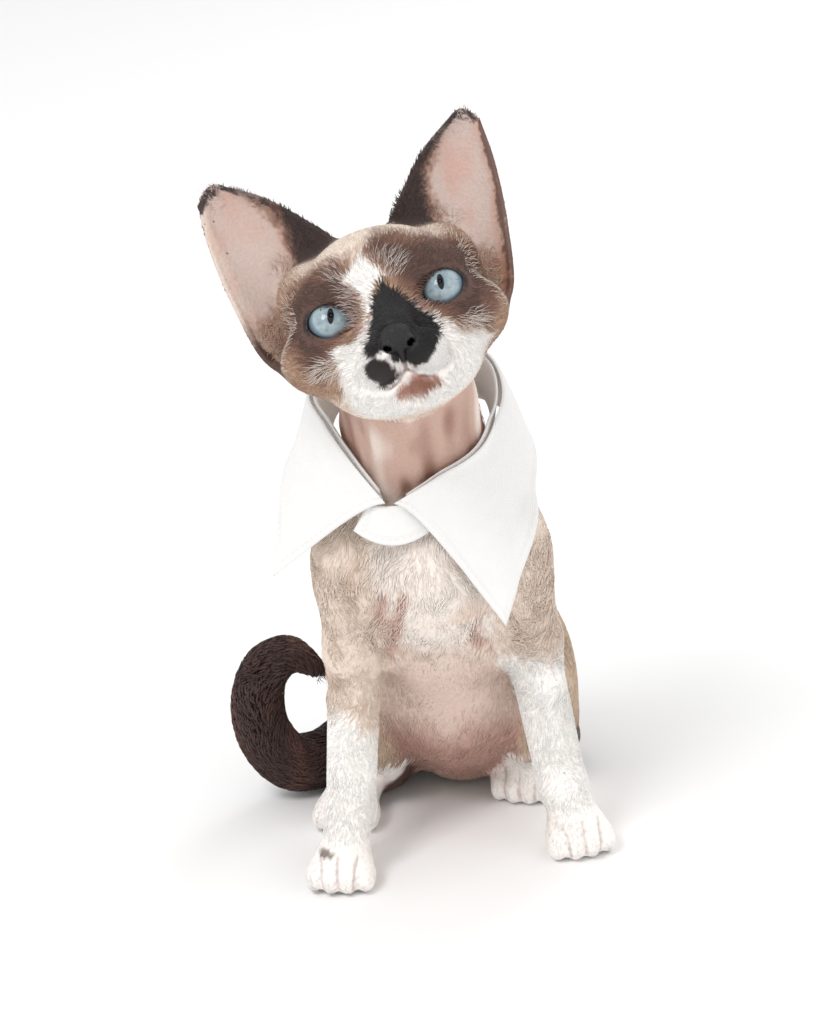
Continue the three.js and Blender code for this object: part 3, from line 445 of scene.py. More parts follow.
def skin_field(p):
    _, y, z = p.T
    to_face = HEAD[0](p)
    level = FLESH[0](p) + coat_depth(p) + 0.25 * noise(p, 14, 51) * ease(6, 14, to_face)
    if z.max() > 90 and y.min() < 60:
        chest = ease(88, 104, z) * ease(60, 34, y) * ease(3, 9, to_face)
        level = level + 0.4 * noise(p, WAVE, 33) * chest
    if near_box(p, NECK_FORM) and y.min() < 12:
        throat = ease(14, 2, y) * ease(12, 4, NECK_FORM[0](p)) * ease(148, 160, z) * ease(2, 6, to_face)
        level = level + 1.25 * noise(p, WRINKLE, 35) * throat
    for side in (1, -1):
        for crease, _ in FOLDS[side]:
            if near_box(p, crease):
                level = -smooth_min(-level, crease[0](p), 2.2)
    if near_box(p, TAIL_FORM):
        level = smooth_min(level, TAIL_FORM[0](p) + 1.0, 5)
    for form in EAR_FORMS:
        if near_box(p, form):
            level = smooth_min(level, form[0](p), 3.5)
    for lid, socket, prism in zip(LIDS, SOCKETS, PRISMS):
        if near_box(p, lid):
            level = np.maximum(level, -prism[0](p) - 0.35)
            level = smooth_min(level, lid[0](p), 0.9)
            level = np.maximum(level, -socket[0](p))
    for line in TOE_LINES:
        if near_box(p, line):
            level = -smooth_min(-level, line[0](p), 1.0)
    for lip in (*LIPS, PHILTRUM):
        if near_box(p, lip):
            level = -smooth_min(-level, lip[0](p), 0.8)
    if near_box(p, NOSE):
        level = np.maximum(level, -0.5 - NOSE[0](p))
    return np.maximum(level, 0.25 - p[:, 2])


# Meshing.
def steps(*spans):
    """Grid lines through (start, end, step) spans that follow one another."""
    lines = [np.linspace(a, b, max(1, round((b - a) / step)), endpoint=False) for a, b, step in spans]
    return np.concatenate([*lines, [spans[-1][1]]])


def surface(field, xs, ys, zs, block=14):
    """Surface nets on a grid, as points and quads. Blocks far from the surface are skipped."""
    shape = (len(xs), len(ys), len(zs))
    values = np.full(shape, FAR, np.float32)
    starts = [range(0, n, block) for n in shape]
    for i in starts[0]:
        for j in starts[1]:
            for k in starts[2]:
                bx, by, bz = xs[i:i + block], ys[j:j + block], zs[k:k + block]
                centre = vec((bx[0] + bx[-1]) / 2, (by[0] + by[-1]) / 2, (bz[0] + bz[-1]) / 2)
                reach = np.linalg.norm(centre - vec(bx[0], by[0], bz[0]))
                middle = float(field(centre[None])[0])
                if abs(middle) > 1.35 * reach + 3:
                    values[i:i + block, j:j + block, k:k + block] = middle
                    continue
                grid = np.stack(np.meshgrid(bx, by, bz, indexing="ij"), -1).reshape(-1, 3)
                values[i:i + block, j:j + block, k:k + block] = field(grid).reshape(len(bx), len(by), len(bz))
    for axis in range(3):
        edge = [slice(None)] * 3
        for end in (0, -1):
            edge[axis] = end
            values[tuple(edge)] = np.maximum(values[tuple(edge)], 0.3)
    inside = values < 0
    corners = [(a, b, c) for a in (0, 1) for b in (0, 1) for c in (0, 1)]
    parts = [tuple(slice(c, n - 1 + c) for c, n in zip(corner, shape)) for corner in corners]
    total = sum(inside[part].astype(np.int8) for part in parts)
    cells = np.argwhere((total > 0) & (total < 8))
    at = {c: values[tuple((cells + c).T)].astype(float) for c in corners}
    lines = (xs, ys, zs)
    size = np.stack([line[cells[:, n] + 1] - line[cells[:, n]] for n, line in enumerate(lines)], 1)
    total = np.zeros((len(cells), 3))
    crossings = np.zeros(len(cells))
    for a in corners:
        for axis in range(3):
            if a[axis]:
                continue
            b = tuple(1 if n == axis else v for n, v in enumerate(a))
            va, vb = at[a], at[b]
            cross = (va < 0) != (vb < 0)
            t = np.where(cross, va / np.where(cross, va - vb, 1), 0)
            point = np.tile(np.array(a, float), (len(cells), 1))
            point[:, axis] += t
            total += np.where(cross[:, None], point, 0)
            crossings += cross
    base = np.stack([line[cells[:, n]] for n, line in enumerate(lines)], 1)
    points = base + total / crossings[:, None] * size
    number = np.full(tuple(n - 1 for n in shape), -1, np.int32)
    number[tuple(cells.T)] = np.arange(len(cells))
    quads = []
    for axis in range(3):
        u, v = (axis + 1) % 3, (axis + 2) % 3
        low = [slice(0, n - 1) for n in shape]
        high = list(low)
        high[axis] = slice(1, shape[axis])
        low[u] = high[u] = slice(1, shape[u] - 1)
        low[v] = high[v] = slice(1, shape[v] - 1)
        a, b = inside[tuple(low)], inside[tuple(high)]
        for here, order in ((a & ~b, 1), (~a & b, -1)):
            found = np.argwhere(here)
            found[:, u] += 1
            found[:, v] += 1
            ring = []
            for du, dv in ((-1, -1), (0, -1), (0, 0), (-1, 0)):
                cell = found.copy()
                cell[:, u] += du
                cell[:, v] += dv
                ring.append(number[tuple(cell.T)])
            quads.append(np.stack(ring[::order], 1))
    return points, np.concatenate(quads)


EYE_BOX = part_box("eye_left")
SHIFT = (np.array(EYE_BOX[0]) + np.array(EYE_BOX[1])) / 2 / MM - from_head(vec(EYE_X, 0, 0))


def make_mesh(name, points, faces, smooth=True):
    """A mesh object from points in the cat's own frame; each row of faces has three or four corners."""
    mesh = bpy.data.meshes.new(name)
    placed_points = (np.asarray(points) + SHIFT) * MM
    faces = np.asarray(faces, np.int32)
    mesh.vertices.add(len(placed_points))
    mesh.vertices.foreach_set("co", placed_points.astype(np.float32).ravel())
    mesh.loops.add(faces.size)
    mesh.loops.foreach_set("vertex_index", faces.ravel())
    mesh.polygons.add(len(faces))
    mesh.polygons.foreach_set("loop_start", np.arange(0, faces.size, faces.shape[1], dtype=np.int32))
    mesh.update(calc_edges=True)
    mesh.validate()
    mesh.polygons.foreach_set("use_smooth", np.full(len(mesh.polygons), smooth))
    piece = bpy.data.objects.new(name, mesh)
    bpy.context.scene.collection.objects.link(piece)
    return piece


def paint(piece, colours, name="Col"):
    """A colour for each point of a mesh, in linear light."""
    layer = piece.data.color_attributes.new(name, "FLOAT_COLOR", "POINT")
    data = np.ones((len(colours), 4), np.float32)
    data[:, :3] = colours
    layer.data.foreach_set("color", data.ravel())


# Noise and colour.
def lattice(i, j, k, seed):
    n = (i * 374761393 + j * 668265263 + k * 2147483647 + seed * 1274126177) & 0xFFFFFFFF
    n = ((n ^ (n >> 13)) * 1274126177) & 0xFFFFFFFF
    n = ((n ^ (n >> 16)) * 2246822519) & 0xFFFFFFFF
    return ((n ^ (n >> 15)) & 0xFFFFFF) / float(0xFFFFFF)


def noise(p, scale, seed=0):
    """Smooth noise from -1 to 1; scale is the size of its lumps, one number or one for each axis."""
    q = p / scale
    base = np.floor(q).astype(np.int64)
    w = q - base
    w = w * w * (3 - 2 * w)
    total = 0
    for a in (0, 1):
        for b in (0, 1):
            for c in (0, 1):
                value = lattice(base[:, 0] + a, base[:, 1] + b, base[:, 2] + c, seed)
                share = ((w[:, 0] if a else 1 - w[:, 0]) * (w[:, 1] if b else 1 - w[:, 1])
                         * (w[:, 2] if c else 1 - w[:, 2]))
                total = total + share * value
    return total * 2 - 1


def colour(text):
    """A named web colour in linear light."""
    value = np.array([int(text[n:n + 2], 16) for n in (0, 2, 4)]) / 255
    return np.where(value <= 0.04045, value / 12.92, ((value + 0.055) / 1.055)**2.4)


PALETTE = {name: colour(text) for name, text in dict(
    cream="f3e2d3", white="fff8f3", mask="513830", brown="7a5646", tan="b08d74", black="100b0c",
    spot="241819", chin="a06a55", pink="c4998a", neck="c9a899", fold="8f6254", chest="f5eae1",
    chest_wave_shade="dfc6b5", armpit_fold_shade="c69684", belly="e0c8bb", belly_low="bb8f80", curl="e2cdbb",
    curl_dark="b8967c", leg="fff8f3", tail="3c2521", tail_highlight="5f3e35", back="cbb29b",
    back_dark="a88b74", hock="54382e", ear="3a2a27", ear_in="cbb7ae", ear_hollow_shade="97685a",
    ear_pink="cba99d", rim="241a1b", ear_warm="b98466", pocket="8d6656").items()}


def mix(base, other, weight):
    return base + (other - base) * np.clip(weight, 0, 1)[:, None]


def over(base, name, weight):
    """The palette's named colour laid over the base."""
    return mix(base, PALETTE[name], weight)


def ease(low, high, value):
    """Rises smoothly from 0 to 1 as the value goes from low to high, which may be the smaller one."""
    t = np.clip((value - low) / (high - low), 0, 1)
    return t * t * (3 - 2 * t)


def blob(x, z, middle, size):
    """A soft round share, 1 at its middle."""
    return np.exp(-(((x - middle[0]) / size[0])**2 + ((z - middle[1]) / size[1])**2))


def outline_level(x, z, corners):
    """Distance from a closed outline in the plane of the face: below zero inside it."""
    points = np.column_stack([x, z])
    corners = np.array(corners, float)
    nearest = np.full(len(points), 1e9)
    inside = np.zeros(len(points), bool)
    for a, b in zip(corners, np.roll(corners, -1, axis=0)):
        edge = b - a
        t = np.clip(((points - a) @ edge) / (edge @ edge), 0, 1)
        nearest = np.minimum(nearest, np.linalg.norm(points - a - t[:, None] * edge, axis=1))
        crosses = (a[1] > z) != (b[1] > z)
        slope = np.where(crosses, (z - a[1]) / (edge[1] if edge[1] else 1), 0)
        inside ^= crosses & (x < a[0] + slope * edge[0])
    return np.where(inside, -nearest, nearest)


# Outlines of the markings on the face, as (x, z) in the head's frame.
MASK_RIGHT = [(-9, 16), (-12, 20), (-20, 20), (-27, 18), (-34, 13), (-37, 4), (-37, -6), (-33, -15),
              (-28, -19), (-22, -15), (-18, -9.5), (-12, -6.5), (-9, 0), (-7.5, 8)]
MASK_LEFT = [(-2, 19), (4, 27), (12, 23), (24, 19.5), (35, 17.5), (41, 10), (40, -3), (36, -13), (31, -20),
             (25, -17.5), (19, -13.5), (13, -7), (8, -1), (4, 6), (0, 12)]
BLAZE = [(-3.7, 18.5), (-7, 15), (-11.5, 11), (-9, 7), (-6.5, 3.5), (-7.2, -1.5), (-9.5, -6), (-12.5, -9.5),
         (-10.5, -10), (-7.0, -6), (-4.2, -0.5), (-2, 4.6), (1.5, 7.5), (4.6, 8.2), (0.5, 12)]
BLACK = [(0.8, 6), (-2.4, 2), (-4.5, -2.5), (-7.2, -7), (-10, -12), (-11.6, -17), (-10.6, -19.3),
         (-7.1, -18.6), (-4.5, -19.6), (-3.5, -22.5), (0, -24.3), (3.4, -25.6), (6.8, -26.1), (10, -24),
         (12.3, -21), (14.5, -17), (15.2, -13.5), (12.6, -8), (9.5, -4.5), (6.8, -1.5), (4.4, 2.5)]
MUZZLE_WHITE = [(-10, -8), (-13, -10), (-17, -10.5), (-20.5, -10.5), (-23, -18), (-23.5, -26), (-21, -32),
                (-10, -42), (8, -44), (22, -36), (30, -30), (35, -24), (33, -19), (26, -17.5), (19.5, -14),
                (13.5, -8), (8, -3), (-4, -2)]
CHIN = [(-6.5, -33), (-3, -30.5), (1.7, -29.2), (5, -30.3), (9.4, -31.8), (7.5, -34), (2, -36),
        (-1.2, -38.5), (-5, -37)]


def head_colour(p):
    h = to_head(p)
    x, y, z = h.T
    ragged = noise(p, 1.6, 3) * 0.9 + noise(p, 4.5, 4) * 1.1
    fringe = noise(p, vec(1.1, 1.1, 3.2), 5)
    ones = np.ones(len(p))[:, None]
    out = ones * PALETTE["tan"]
    out = over(out, "cream", ease(13, 24, z + ragged) * ease(34, 22, np.abs(x)))
    out = over(out, "back", ease(10, 30, y))
    out = over(out, "cream", ease(-22, -31, z + ragged))
    for outline, soft in ((MASK_RIGHT, 3.2), (MASK_LEFT, 3.0)):
        level = outline_level(x, z, outline) + ragged
        near = ease(30, 10, y)
        out = over(out, "brown", ease(soft, -soft, level) * near)
        out = over(out, "mask", ease(-1.5, -8, level + noise(p, 6, 8) * 2.5) * near * 0.85)
    front = ease(6, -2, y)
    out = over(out, "white", ease(1.4, -1.2, outline_level(x, z, MUZZLE_WHITE) + ragged * 0.9 + fringe)
               * front)
    out = over(out, "white", ease(0.9, -0.9, outline_level(x, z, BLAZE) + ragged * 0.6 + fringe * 0.8)
               * front)
    inner = blob(np.abs(x), z, (11.6, -4.2), (2.6, 3.4))
    out = over(out, "pink", inner * 0.75 * front)
    out = over(out, "black", ease(0.8, -0.8, outline_level(x, z, BLACK) + ragged * 0.55 + fringe * 0.5)
               * front)
    spot = np.sqrt(((x + 7.9 + 0.3 * (z + 24.6)) / 4.8)**2 + ((z + 24.6) / 4.4)**2) - 1
    out = over(out, "spot", ease(0.2, -0.14, spot + ragged * 0.17 + fringe * 0.2) * front)
    chin = ease(1.6, -1.4, outline_level(x, z, CHIN) + ragged * 0.8)
    out = mix(out, PALETTE["chin"] * 0.55 + PALETTE["pink"] * 0.45, chin * front * ease(-37, -33, z))
    out = mix(out, PALETTE["chin"] * 0.85, chin * front * ease(-1, 4, x) * 0.8)
    return out, h


def ear_colour(p, h):
    """The ears' colour and how far each point belongs to an ear."""
    out = np.ones(len(p))[:, None] * PALETTE["ear"]
    share = np.zeros(len(p))
    for side, ear in EARS.items():
        distance, place = ear.nearest(p)
        s, u = place.T
        sheet = ear_sheet(side, s, u)
        inside_cup = ease(-0.4, 0.5, sheet[:, 1] - h[:, 1])
        near = ease(4.5, 1.2, distance) * ease(-0.02, 0.1, s + 0.12 * np.abs(u - 0.5))
        wobble = noise(p, 5, 21) * 0.03 + noise(p, 1.2, 22) * 0.03
        inner = np.ones(len(p))[:, None] * PALETTE["ear_in"]
        inner = over(inner, "ear_pink", ease(-0.2, 0.8, noise(p, vec(6, 6, 16), 23)))
        dark = 0.07 + 0.38 * ease(0.62, 0.22, s)
        inner = over(inner, "ear_warm", ease(dark + 0.16, dark, u + wobble) * ease(0.2, 0.4, s)
                     * ease(0.95, 0.7, s) * 0.45)
        # Painted shade deep in the ear's cup, darkening toward its root.
        inner = over(inner, "ear_hollow_shade", ease(0.44, 0.14, s + wobble) * 0.9)
        inner = over(inner, "pocket", ease(0.42, 0.28, s + wobble - 0.08 * (u - 0.5)) * ease(0.45, 0.7, u)
                     * 0.85)
        outer = ease(0.93, 0.98, u + wobble)
        inner = over(inner, "ear_warm" if side > 0 else "cream", ease(0.84, 0.94, u + wobble) * 0.4)
        inner = over(inner, "mask", outer * (0.85 if side > 0 else ease(0.5, 0.3, s)))
        inner = over(inner, "brown", ease(dark + 0.15, dark, u + wobble * 2.4) * ease(0.9, 0.6, s) * 0.75)
        inner = over(inner, "ear", ease(dark + 0.05, dark - 0.07, u + wobble * 1.6))
        inner = over(inner, "ear", ease(0.955, 0.985, s + wobble))
        inner = over(inner, "rim", ease(0.1, 0.03, s) * ease(0.85, 0.95, u))
        back = mix(np.ones(len(p))[:, None] * PALETTE["ear"], PALETTE["mask"],
                   ease(0.3, -0.3, noise(p, 7, 24)))
        here = mix(back, inner, inside_cup)
        out = mix(out, here, near)
        share = np.maximum(share, near)
    return out, share


def body_colour(p):
    x, y, z = p.T
    soft = noise(p, 9, 31) * 4 + noise(p, 3, 32) * 1.5
    out = np.ones(len(p))[:, None] * PALETTE["back"]
    out = over(out, "back_dark", ease(22, 4, np.abs(x + soft)) * ease(40, 60, y) * 0.5)
    out = over(out, "back_dark", ease(60, 20, z + soft) * ease(60, 90, y) * 0.7)
    front = ease(34, 6, y + soft)
    out = over(out, "chest", front)
    # Painted shade: darker bands across the chest stand in for the shade of the coat's waves.
    out = over(out, "chest_wave_shade", ease(0.0, -0.9, noise(p, WAVE, 33)) * front * 0.85)
    belly = ease(106, 76, z + soft) * ease(31, 25, np.abs(x)) * ease(66, 50, y)
    out = over(out, "belly", belly)
    out = over(out, "belly_low", belly * ease(56, 34, z + soft) * 0.9)
    for leg in (1, -1):
        # Painted shade along the armpit creases, which are also carved into the skin.
        for crease, reach in FOLDS[leg]:
            level = crease[0](p)
            out = over(out, "armpit_fold_shade", ease(5.5 * reach, -0.5, level + soft * 0.15) * 0.7)
    neck = ease(16, 2, NECK_FORM[0](p)) * ease(150, 162, z) * ease(15, 0, y + soft * 0.5)
    wrinkle = noise(p, WRINKLE, 35)
    out = over(out, "neck", neck)
    # Painted shade in the throat's wrinkle creases (fold colour) and painted light on their ridges (chest
    # colour); the same noise carves the wrinkles into the skin.
    out = over(out, "fold", neck * ease(0.0, 0.8, wrinkle) * 0.9)
    out = over(out, "chest", neck * ease(-0.1, -0.9, wrinkle) * 0.75)
    for side in (1, -1):
        leg = ease(4, -1, FRONT_FORMS[side][0](p))
        wave = noise(p, CURL, 36)
        shade = PALETTE["curl"] * 0.75 + PALETTE["chest"] * 0.25
        fore = leg * np.maximum(ease(100, 76, z + soft), ease(34, 8, y + soft))
        out = mix(out, shade, fore * ease(24, 17, np.abs(np.abs(x) - 39)))
        out = over(out, "curl_dark", fore * ease(0.25, 0.9, wave) * 0.5)
        line = 84 if side > 0 else 66 - 8 * ease(-38, -28, x)
        out = over(out, "leg", leg * ease(line + 4, line - 4, z + soft))
        hind = ease(3, -1, HIND_FORMS[side][0](p)) * ease(30, 38, y - leg * 4)
        out = over(out, "back", hind * ease(20, 28, np.abs(x)))
        hock = hind * ease(34, 20, z + soft) * ease(0, 14, y - HIND[side]["paw"][1] + 1)
        out = over(out, "hock", hock)
        past_foot = np.maximum(y - HIND[side]["paw"][1] - 8, z - 20) + soft * 0.4
        foot = ease(5, 1, past_foot) * ease(3, -1, HIND_FORMS[side][0](p))
        out = over(out, "leg", foot)
    mark = np.linalg.norm((p - vec(-47, -20.5, 15.5)) / vec(3.2, 4, 1.5), axis=1) - 1
    out = over(out, "hock", ease(0.5, -0.4, mark + noise(p, 1.5, 37) * 0.4) * 0.8)
    tail = ease(6, 0, TAIL_FORM[0](p) + soft * 0.4)
    out = over(out, "tail", tail)
    # Painted highlights: lighter patches on the dark tail, laid by noise.
    out = over(out, "tail_highlight", tail * ease(0.1, 0.9, noise(p, vec(9, 9, 14), 38)) * 0.8)
    return out


def markings(p):
    """The cat's colour at each point, for skin and coat alike."""
    chunks = []
    for start in range(0, len(p), 60000):
        q = p[start:start + 60000]
        face, h = head_colour(q)
        ear, share = ear_colour(q, h)
        head = ease(5.5, 1.5, HEAD[0](q) + noise(q, 4, 41) * 1.2)
        head = np.maximum(head, ease(150, 200, q[:, 2]) * ease(215, 225, q[:, 2]))
        out = mix(mix(body_colour(q), face, head), ear, share)
        for side in (1, -1):
            rim = np.sqrt(np.min([((q - point)**2).sum(1) for point in LID_LINES[side][::2]], axis=0))
            out = over(out, "mask", ease(2.8, 1.6, rim) * 0.4)
            out = over(out, "rim", ease(1.6, 0.9, rim))
        # Painted shade in the groove of the mouth and the philtrum.
        for lip in (*LIPS, PHILTRUM):
            out = mix(out, PALETTE["fold"] * 0.45, ease(0.7, 0.1, lip[0](q)) * ease(12, 6, np.abs(h[:, 0])))
        # Painted shade in the creases between the toes.
        for line in TOE_LINES:
            out = mix(out, PALETTE["fold"] * 0.8, ease(0.55, 0.0, line[0](q)) * 0.4)
        chunks.append(out)
    return np.concatenate(chunks)


# Camera, light and floor.
VIEW_AZIMUTH, VIEW_ELEVATION, VIEW_ROLL = 6 * DEG, 21 * DEG, 5 * DEG
VIEW_PLACE = vec(113.4, -1138.6, 583.3)
VIEW_LENS = 117.19
LIT_POINT = (0, 0, 0.15)


def add_camera():
    a, e, roll = VIEW_AZIMUTH, VIEW_ELEVATION, VIEW_ROLL
    back = vec(math.sin(a) * math.cos(e), -math.cos(a) * math.cos(e), math.sin(e))
    right = np.cross(-back, vec(0, 0, 1))
    right /= np.linalg.norm(right)
    up = np.cross(right, -back)
    across = math.cos(roll) * right - math.sin(roll) * up
    rise = math.sin(roll) * right + math.cos(roll) * up
    data = bpy.data.cameras.new("camera")
    data.lens = VIEW_LENS
    data.sensor_width = 36
    data.clip_start, data.clip_end = 0.05, 20
    camera = bpy.data.objects.new("camera", data)
    bpy.context.scene.collection.objects.link(camera)
    place = (VIEW_PLACE + SHIFT) * MM
    rows = np.column_stack([across, rise, back, place])
    camera.matrix_world = Matrix([*rows.tolist(), (0, 0, 0, 1)])
    bpy.context.scene.camera = camera


def add_light(name, place, size, power):
    data = bpy.data.lights.new(name, "AREA")
    data.shape = "DISK"
    data.size = size
    data.energy = power
    light = bpy.data.objects.new(name, data)
    light.location = place
    light.rotation_euler = (Vector(LIT_POINT) - Vector(place)).to_track_quat("-Z", "Y").to_euler()
    bpy.context.scene.collection.objects.link(light)


def add_stage():
    bpy.ops.mesh.primitive_plane_add(size=12, location=(0, 0, 0))
    floor = bpy.context.object
    floor.name = "floor"
    material = bpy.data.materials.new("floor")
    material.use_nodes = True
    shader = material.node_tree.nodes["Principled BSDF"]
    set_inputs(shader, Base_Color=(0.95, 0.95, 0.95, 1), Roughness=0.9)
    floor.data.materials.append(material)
    world = bpy.data.worlds.new("world")
    world.use_nodes = True
    set_inputs(world.node_tree.nodes["Background"], Color=(1, 1, 1, 1), Strength=0.82)
    bpy.context.scene.world = world
    add_light("key", (-0.7, -1.2, 1.9), 0.8, 17)
    add_light("fill", (1.3, -0.9, 0.9), 1.2, 3)
    add_light("rim", (0.6, 1.4, 1.2), 0.8, 5)
    bpy.context.scene.view_settings.view_transform = "Standard"


# Materials.
def set_inputs(node, **values):
    """Sets a node's sockets by name, with underscores for spaces."""
    for name, value in values.items():
        node.inputs[name.replace("_", " ")].default_value = value


def new_material(name):
    material = bpy.data.materials.new(name)
    material.use_nodes = True
    nodes = material.node_tree.nodes
    return material, nodes, material.node_tree.links, nodes["Principled BSDF"]


def textured(name, scale, spread, bump, roughness, sheen=0.0, subsurface=0.0, coat=0.0):
    """The painted colour, broken up by fine noise that also makes the bump."""
    material, nodes, links, shader = new_material(name)
    place = nodes.new("ShaderNodeTexCoord")
    grain = nodes.new("ShaderNodeTexNoise")
    set_inputs(grain, Scale=scale, Detail=4)
    painted = nodes.new("ShaderNodeAttribute")
    painted.attribute_name = "Col"
    shade = nodes.new("ShaderNodeMapRange")
    set_inputs(shade, To_Min=1 - spread, To_Max=1 + spread)
    mixer = nodes.new("ShaderNodeMix")
    mixer.data_type = "RGBA"
    mixer.blend_type = "MULTIPLY"
    set_inputs(mixer, Factor=1)
    relief = nodes.new("ShaderNodeBump")
    set_inputs(relief, Strength=bump, Distance=0.0006)
    links.new(place.outputs["Object"], grain.inputs["Vector"])
    links.new(grain.outputs["Fac"], shade.inputs["Value"])
    links.new(painted.outputs["Color"], mixer.inputs["A"])
    links.new(shade.outputs["Result"], mixer.inputs["B"])
    links.new(mixer.outputs["Result"], shader.inputs["Base Color"])
    links.new(grain.outputs["Fac"], relief.inputs["Height"])
    links.new(relief.outputs["Normal"], shader.inputs["Normal"])
    set_inputs(shader, Roughness=roughness, Sheen_Weight=sheen, Subsurface_Weight=subsurface,
               Subsurface_Radius=(0.004, 0.0016, 0.0008), Subsurface_Scale=0.6, Coat_Weight=coat)
    return material


# Skin.
FINE, COARSE = 0.65, 1.35
skin_points, skin_quads = surface(
    skin_field, steps((-90, -52, COARSE), (-52, 52, FINE), (52, 66, COARSE)),
    steps((-72, 26, FINE), (26, 126, COARSE)), steps((-0.5, 16, FINE), (16, 180, COARSE), (180, 295, FINE)))
skin = make_mesh("skin", skin_points, skin_quads)
skin_colours = markings(skin_points)
paint(skin, skin_colours)
skin.data.materials.append(textured("skin_material", 900, 0.14, 0.5, 0.62, subsurface=0.08))
FLESH_NODES = ["head", "muzzle", "neck", "torso", "ear_left", "ear_right", "tail_root", "tail_middle",
               "tail_tip"]
FLESH_NODES += [f"{part}_{side}" for part in ("shoulder", "front_leg", "front_paw", "haunch", "hind_foot")
                for side in ("left", "right")]
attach(skin, "root")
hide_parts(*FLESH_NODES)


# Eyes and nose.
GAZE = {-1: (vec(0.138, -0.981, 0.137), 16), 1: (vec(-0.03, -0.988, 0.152), 6)}


def eye_material():
    """Iris, slit pupil and dark rim, drawn in the eye's own flat coordinates, which its mesh carries."""
    material, nodes, links, shader = new_material("eye_material")
    place = nodes.new("ShaderNodeAttribute")
    place.attribute_name = "eye_place"
    split = nodes.new("ShaderNodeSeparateXYZ")
    links.new(place.outputs["Vector"], split.inputs["Vector"])

    def maths(operation, a, b=None):
        node = nodes.new("ShaderNodeMath")
        node.operation = operation
        for n, value in enumerate((a, b)):
            if value is None:
                continue
            if isinstance(value, (int, float)):
                node.inputs[n].default_value = value
            else:
                links.new(value, node.inputs[n])
        return node.outputs[0]

    def blend(low, high, value, first, second):
        ramp = nodes.new("ShaderNodeMapRange")
        ramp.interpolation_type = "SMOOTHSTEP"
        set_inputs(ramp, From_Min=low, From_Max=high)
        links.new(value, ramp.inputs["Value"])
        mixer = nodes.new("ShaderNodeMix")
        mixer.data_type = "RGBA"
        links.new(ramp.outputs["Result"], mixer.inputs["Factor"])
        for socket, tone in (("A", first), ("B", second)):
            if isinstance(tone, str):
                mixer.inputs[socket].default_value = (*colour(tone), 1)
            else:
                links.new(tone, mixer.inputs[socket])
        return mixer.outputs["Result"]

    x, z = split.outputs["X"], split.outputs["Z"]
    radius = maths("SQRT", maths("ADD", maths("POWER", x, 2), maths("POWER", z, 2)))
    angle = maths("ARCTAN2", z, x)
    spoke = nodes.new("ShaderNodeCombineXYZ")
    links.new(maths("MULTIPLY", maths("COSINE", angle), 7.0), spoke.inputs["X"])
    links.new(maths("MULTIPLY", maths("SINE", angle), 7.0), spoke.inputs["Y"])
    links.new(maths("MULTIPLY", radius, 0.35), spoke.inputs["Z"])
    fibres = nodes.new("ShaderNodeTexNoise")
    set_inputs(fibres, Scale=1.6, Detail=5)
    links.new(spoke.outputs["Vector"], fibres.inputs["Vector"])
    iris = blend(0.36, 0.66, fibres.outputs["Fac"], "71848d", "98a8ae")
    cloud = nodes.new("ShaderNodeTexNoise")
    set_inputs(cloud, Scale=0.35)
    links.new(place.outputs["Vector"], cloud.inputs["Vector"])
    iris = blend(0.75, 0.35, cloud.outputs["Fac"], iris, "a3b4ba")
    near = blend(3.4, 1.2, radius, iris, "7b919a")
    ring = blend(5.6, 7.1, radius, near, "566f7d")
    edge = blend(7.0, 7.7, radius, ring, "2a2c30")
    lid_shade = blend(3.2, 6.2, z, edge, "4b606c")
    slit = maths("ADD", maths("POWER", maths("DIVIDE", x, 1.12), 2),
                 maths("POWER", maths("DIVIDE", z, 2.75), 2))
    final = blend(1.22, 0.86, slit, lid_shade, "060708")
    links.new(final, shader.inputs["Base Color"])
    set_inputs(shader, Roughness=0.22, Coat_Weight=0.6, Coat_Roughness=0.02, Specular_IOR_Level=0.2)
    return material


def add_eye(side, material):
    rings, spokes = 44, 72
    theta = np.linspace(0, np.pi, rings + 1)[1:-1]
    phi = np.linspace(0, 2 * np.pi, spokes, endpoint=False)
    t, f = np.meshgrid(theta, phi, indexing="ij")
    local = np.column_stack([(np.sin(t) * np.cos(f)).ravel(), -np.cos(t).ravel(),
                             (np.sin(t) * np.sin(f)).ravel()])
    local = np.vstack([local, [0, -1, 0], [0, 1, 0]])
    bulge = 1 + 0.035 * ease(0.72, 0.95, -local[:, 1])
    faces = [(r * spokes + c, r * spokes + (c + 1) % spokes, (r + 1) * spokes + (c + 1) % spokes,
              (r + 1) * spokes + c) for r in range(rings - 2) for c in range(spokes)]
    last = (rings - 2) * spokes
    front, back = len(local) - 2, len(local) - 1
    caps = [(front, c, (c + 1) % spokes) for c in range(spokes)]
    caps += [(back, last + (c + 1) % spokes, last + c) for c in range(spokes)]
    gaze, roll = GAZE[side]
    turn = np.array(Vector((0, -1, 0)).rotation_difference(Vector(gaze)).to_matrix()
                    @ Matrix.Rotation(roll * DEG, 3, "Y"))
    points = from_head((local * bulge[:, None] * EYE_R) @ turn.T + vec(side * EYE_X, 0, 0))
    mesh = bpy.data.meshes.new(f"eyeball_{side}")
    mesh.from_pydata([tuple((p + SHIFT) * MM) for p in points], [], faces + caps)
    mesh.validate()
    mesh.polygons.foreach_set("use_smooth", np.ones(len(mesh.polygons), bool))
    place = mesh.attributes.new("eye_place", "FLOAT_VECTOR", "POINT")
    place.data.foreach_set("vector", (local * EYE_R).astype(np.float32).ravel())
    word = "left" if side > 0 else "right"
    piece = bpy.data.objects.new(f"eyeball_{word}", mesh)
    bpy.context.scene.collection.objects.link(piece)
    mesh.materials.append(material)
    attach(piece, "root")
    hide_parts(f"eye_{word}")


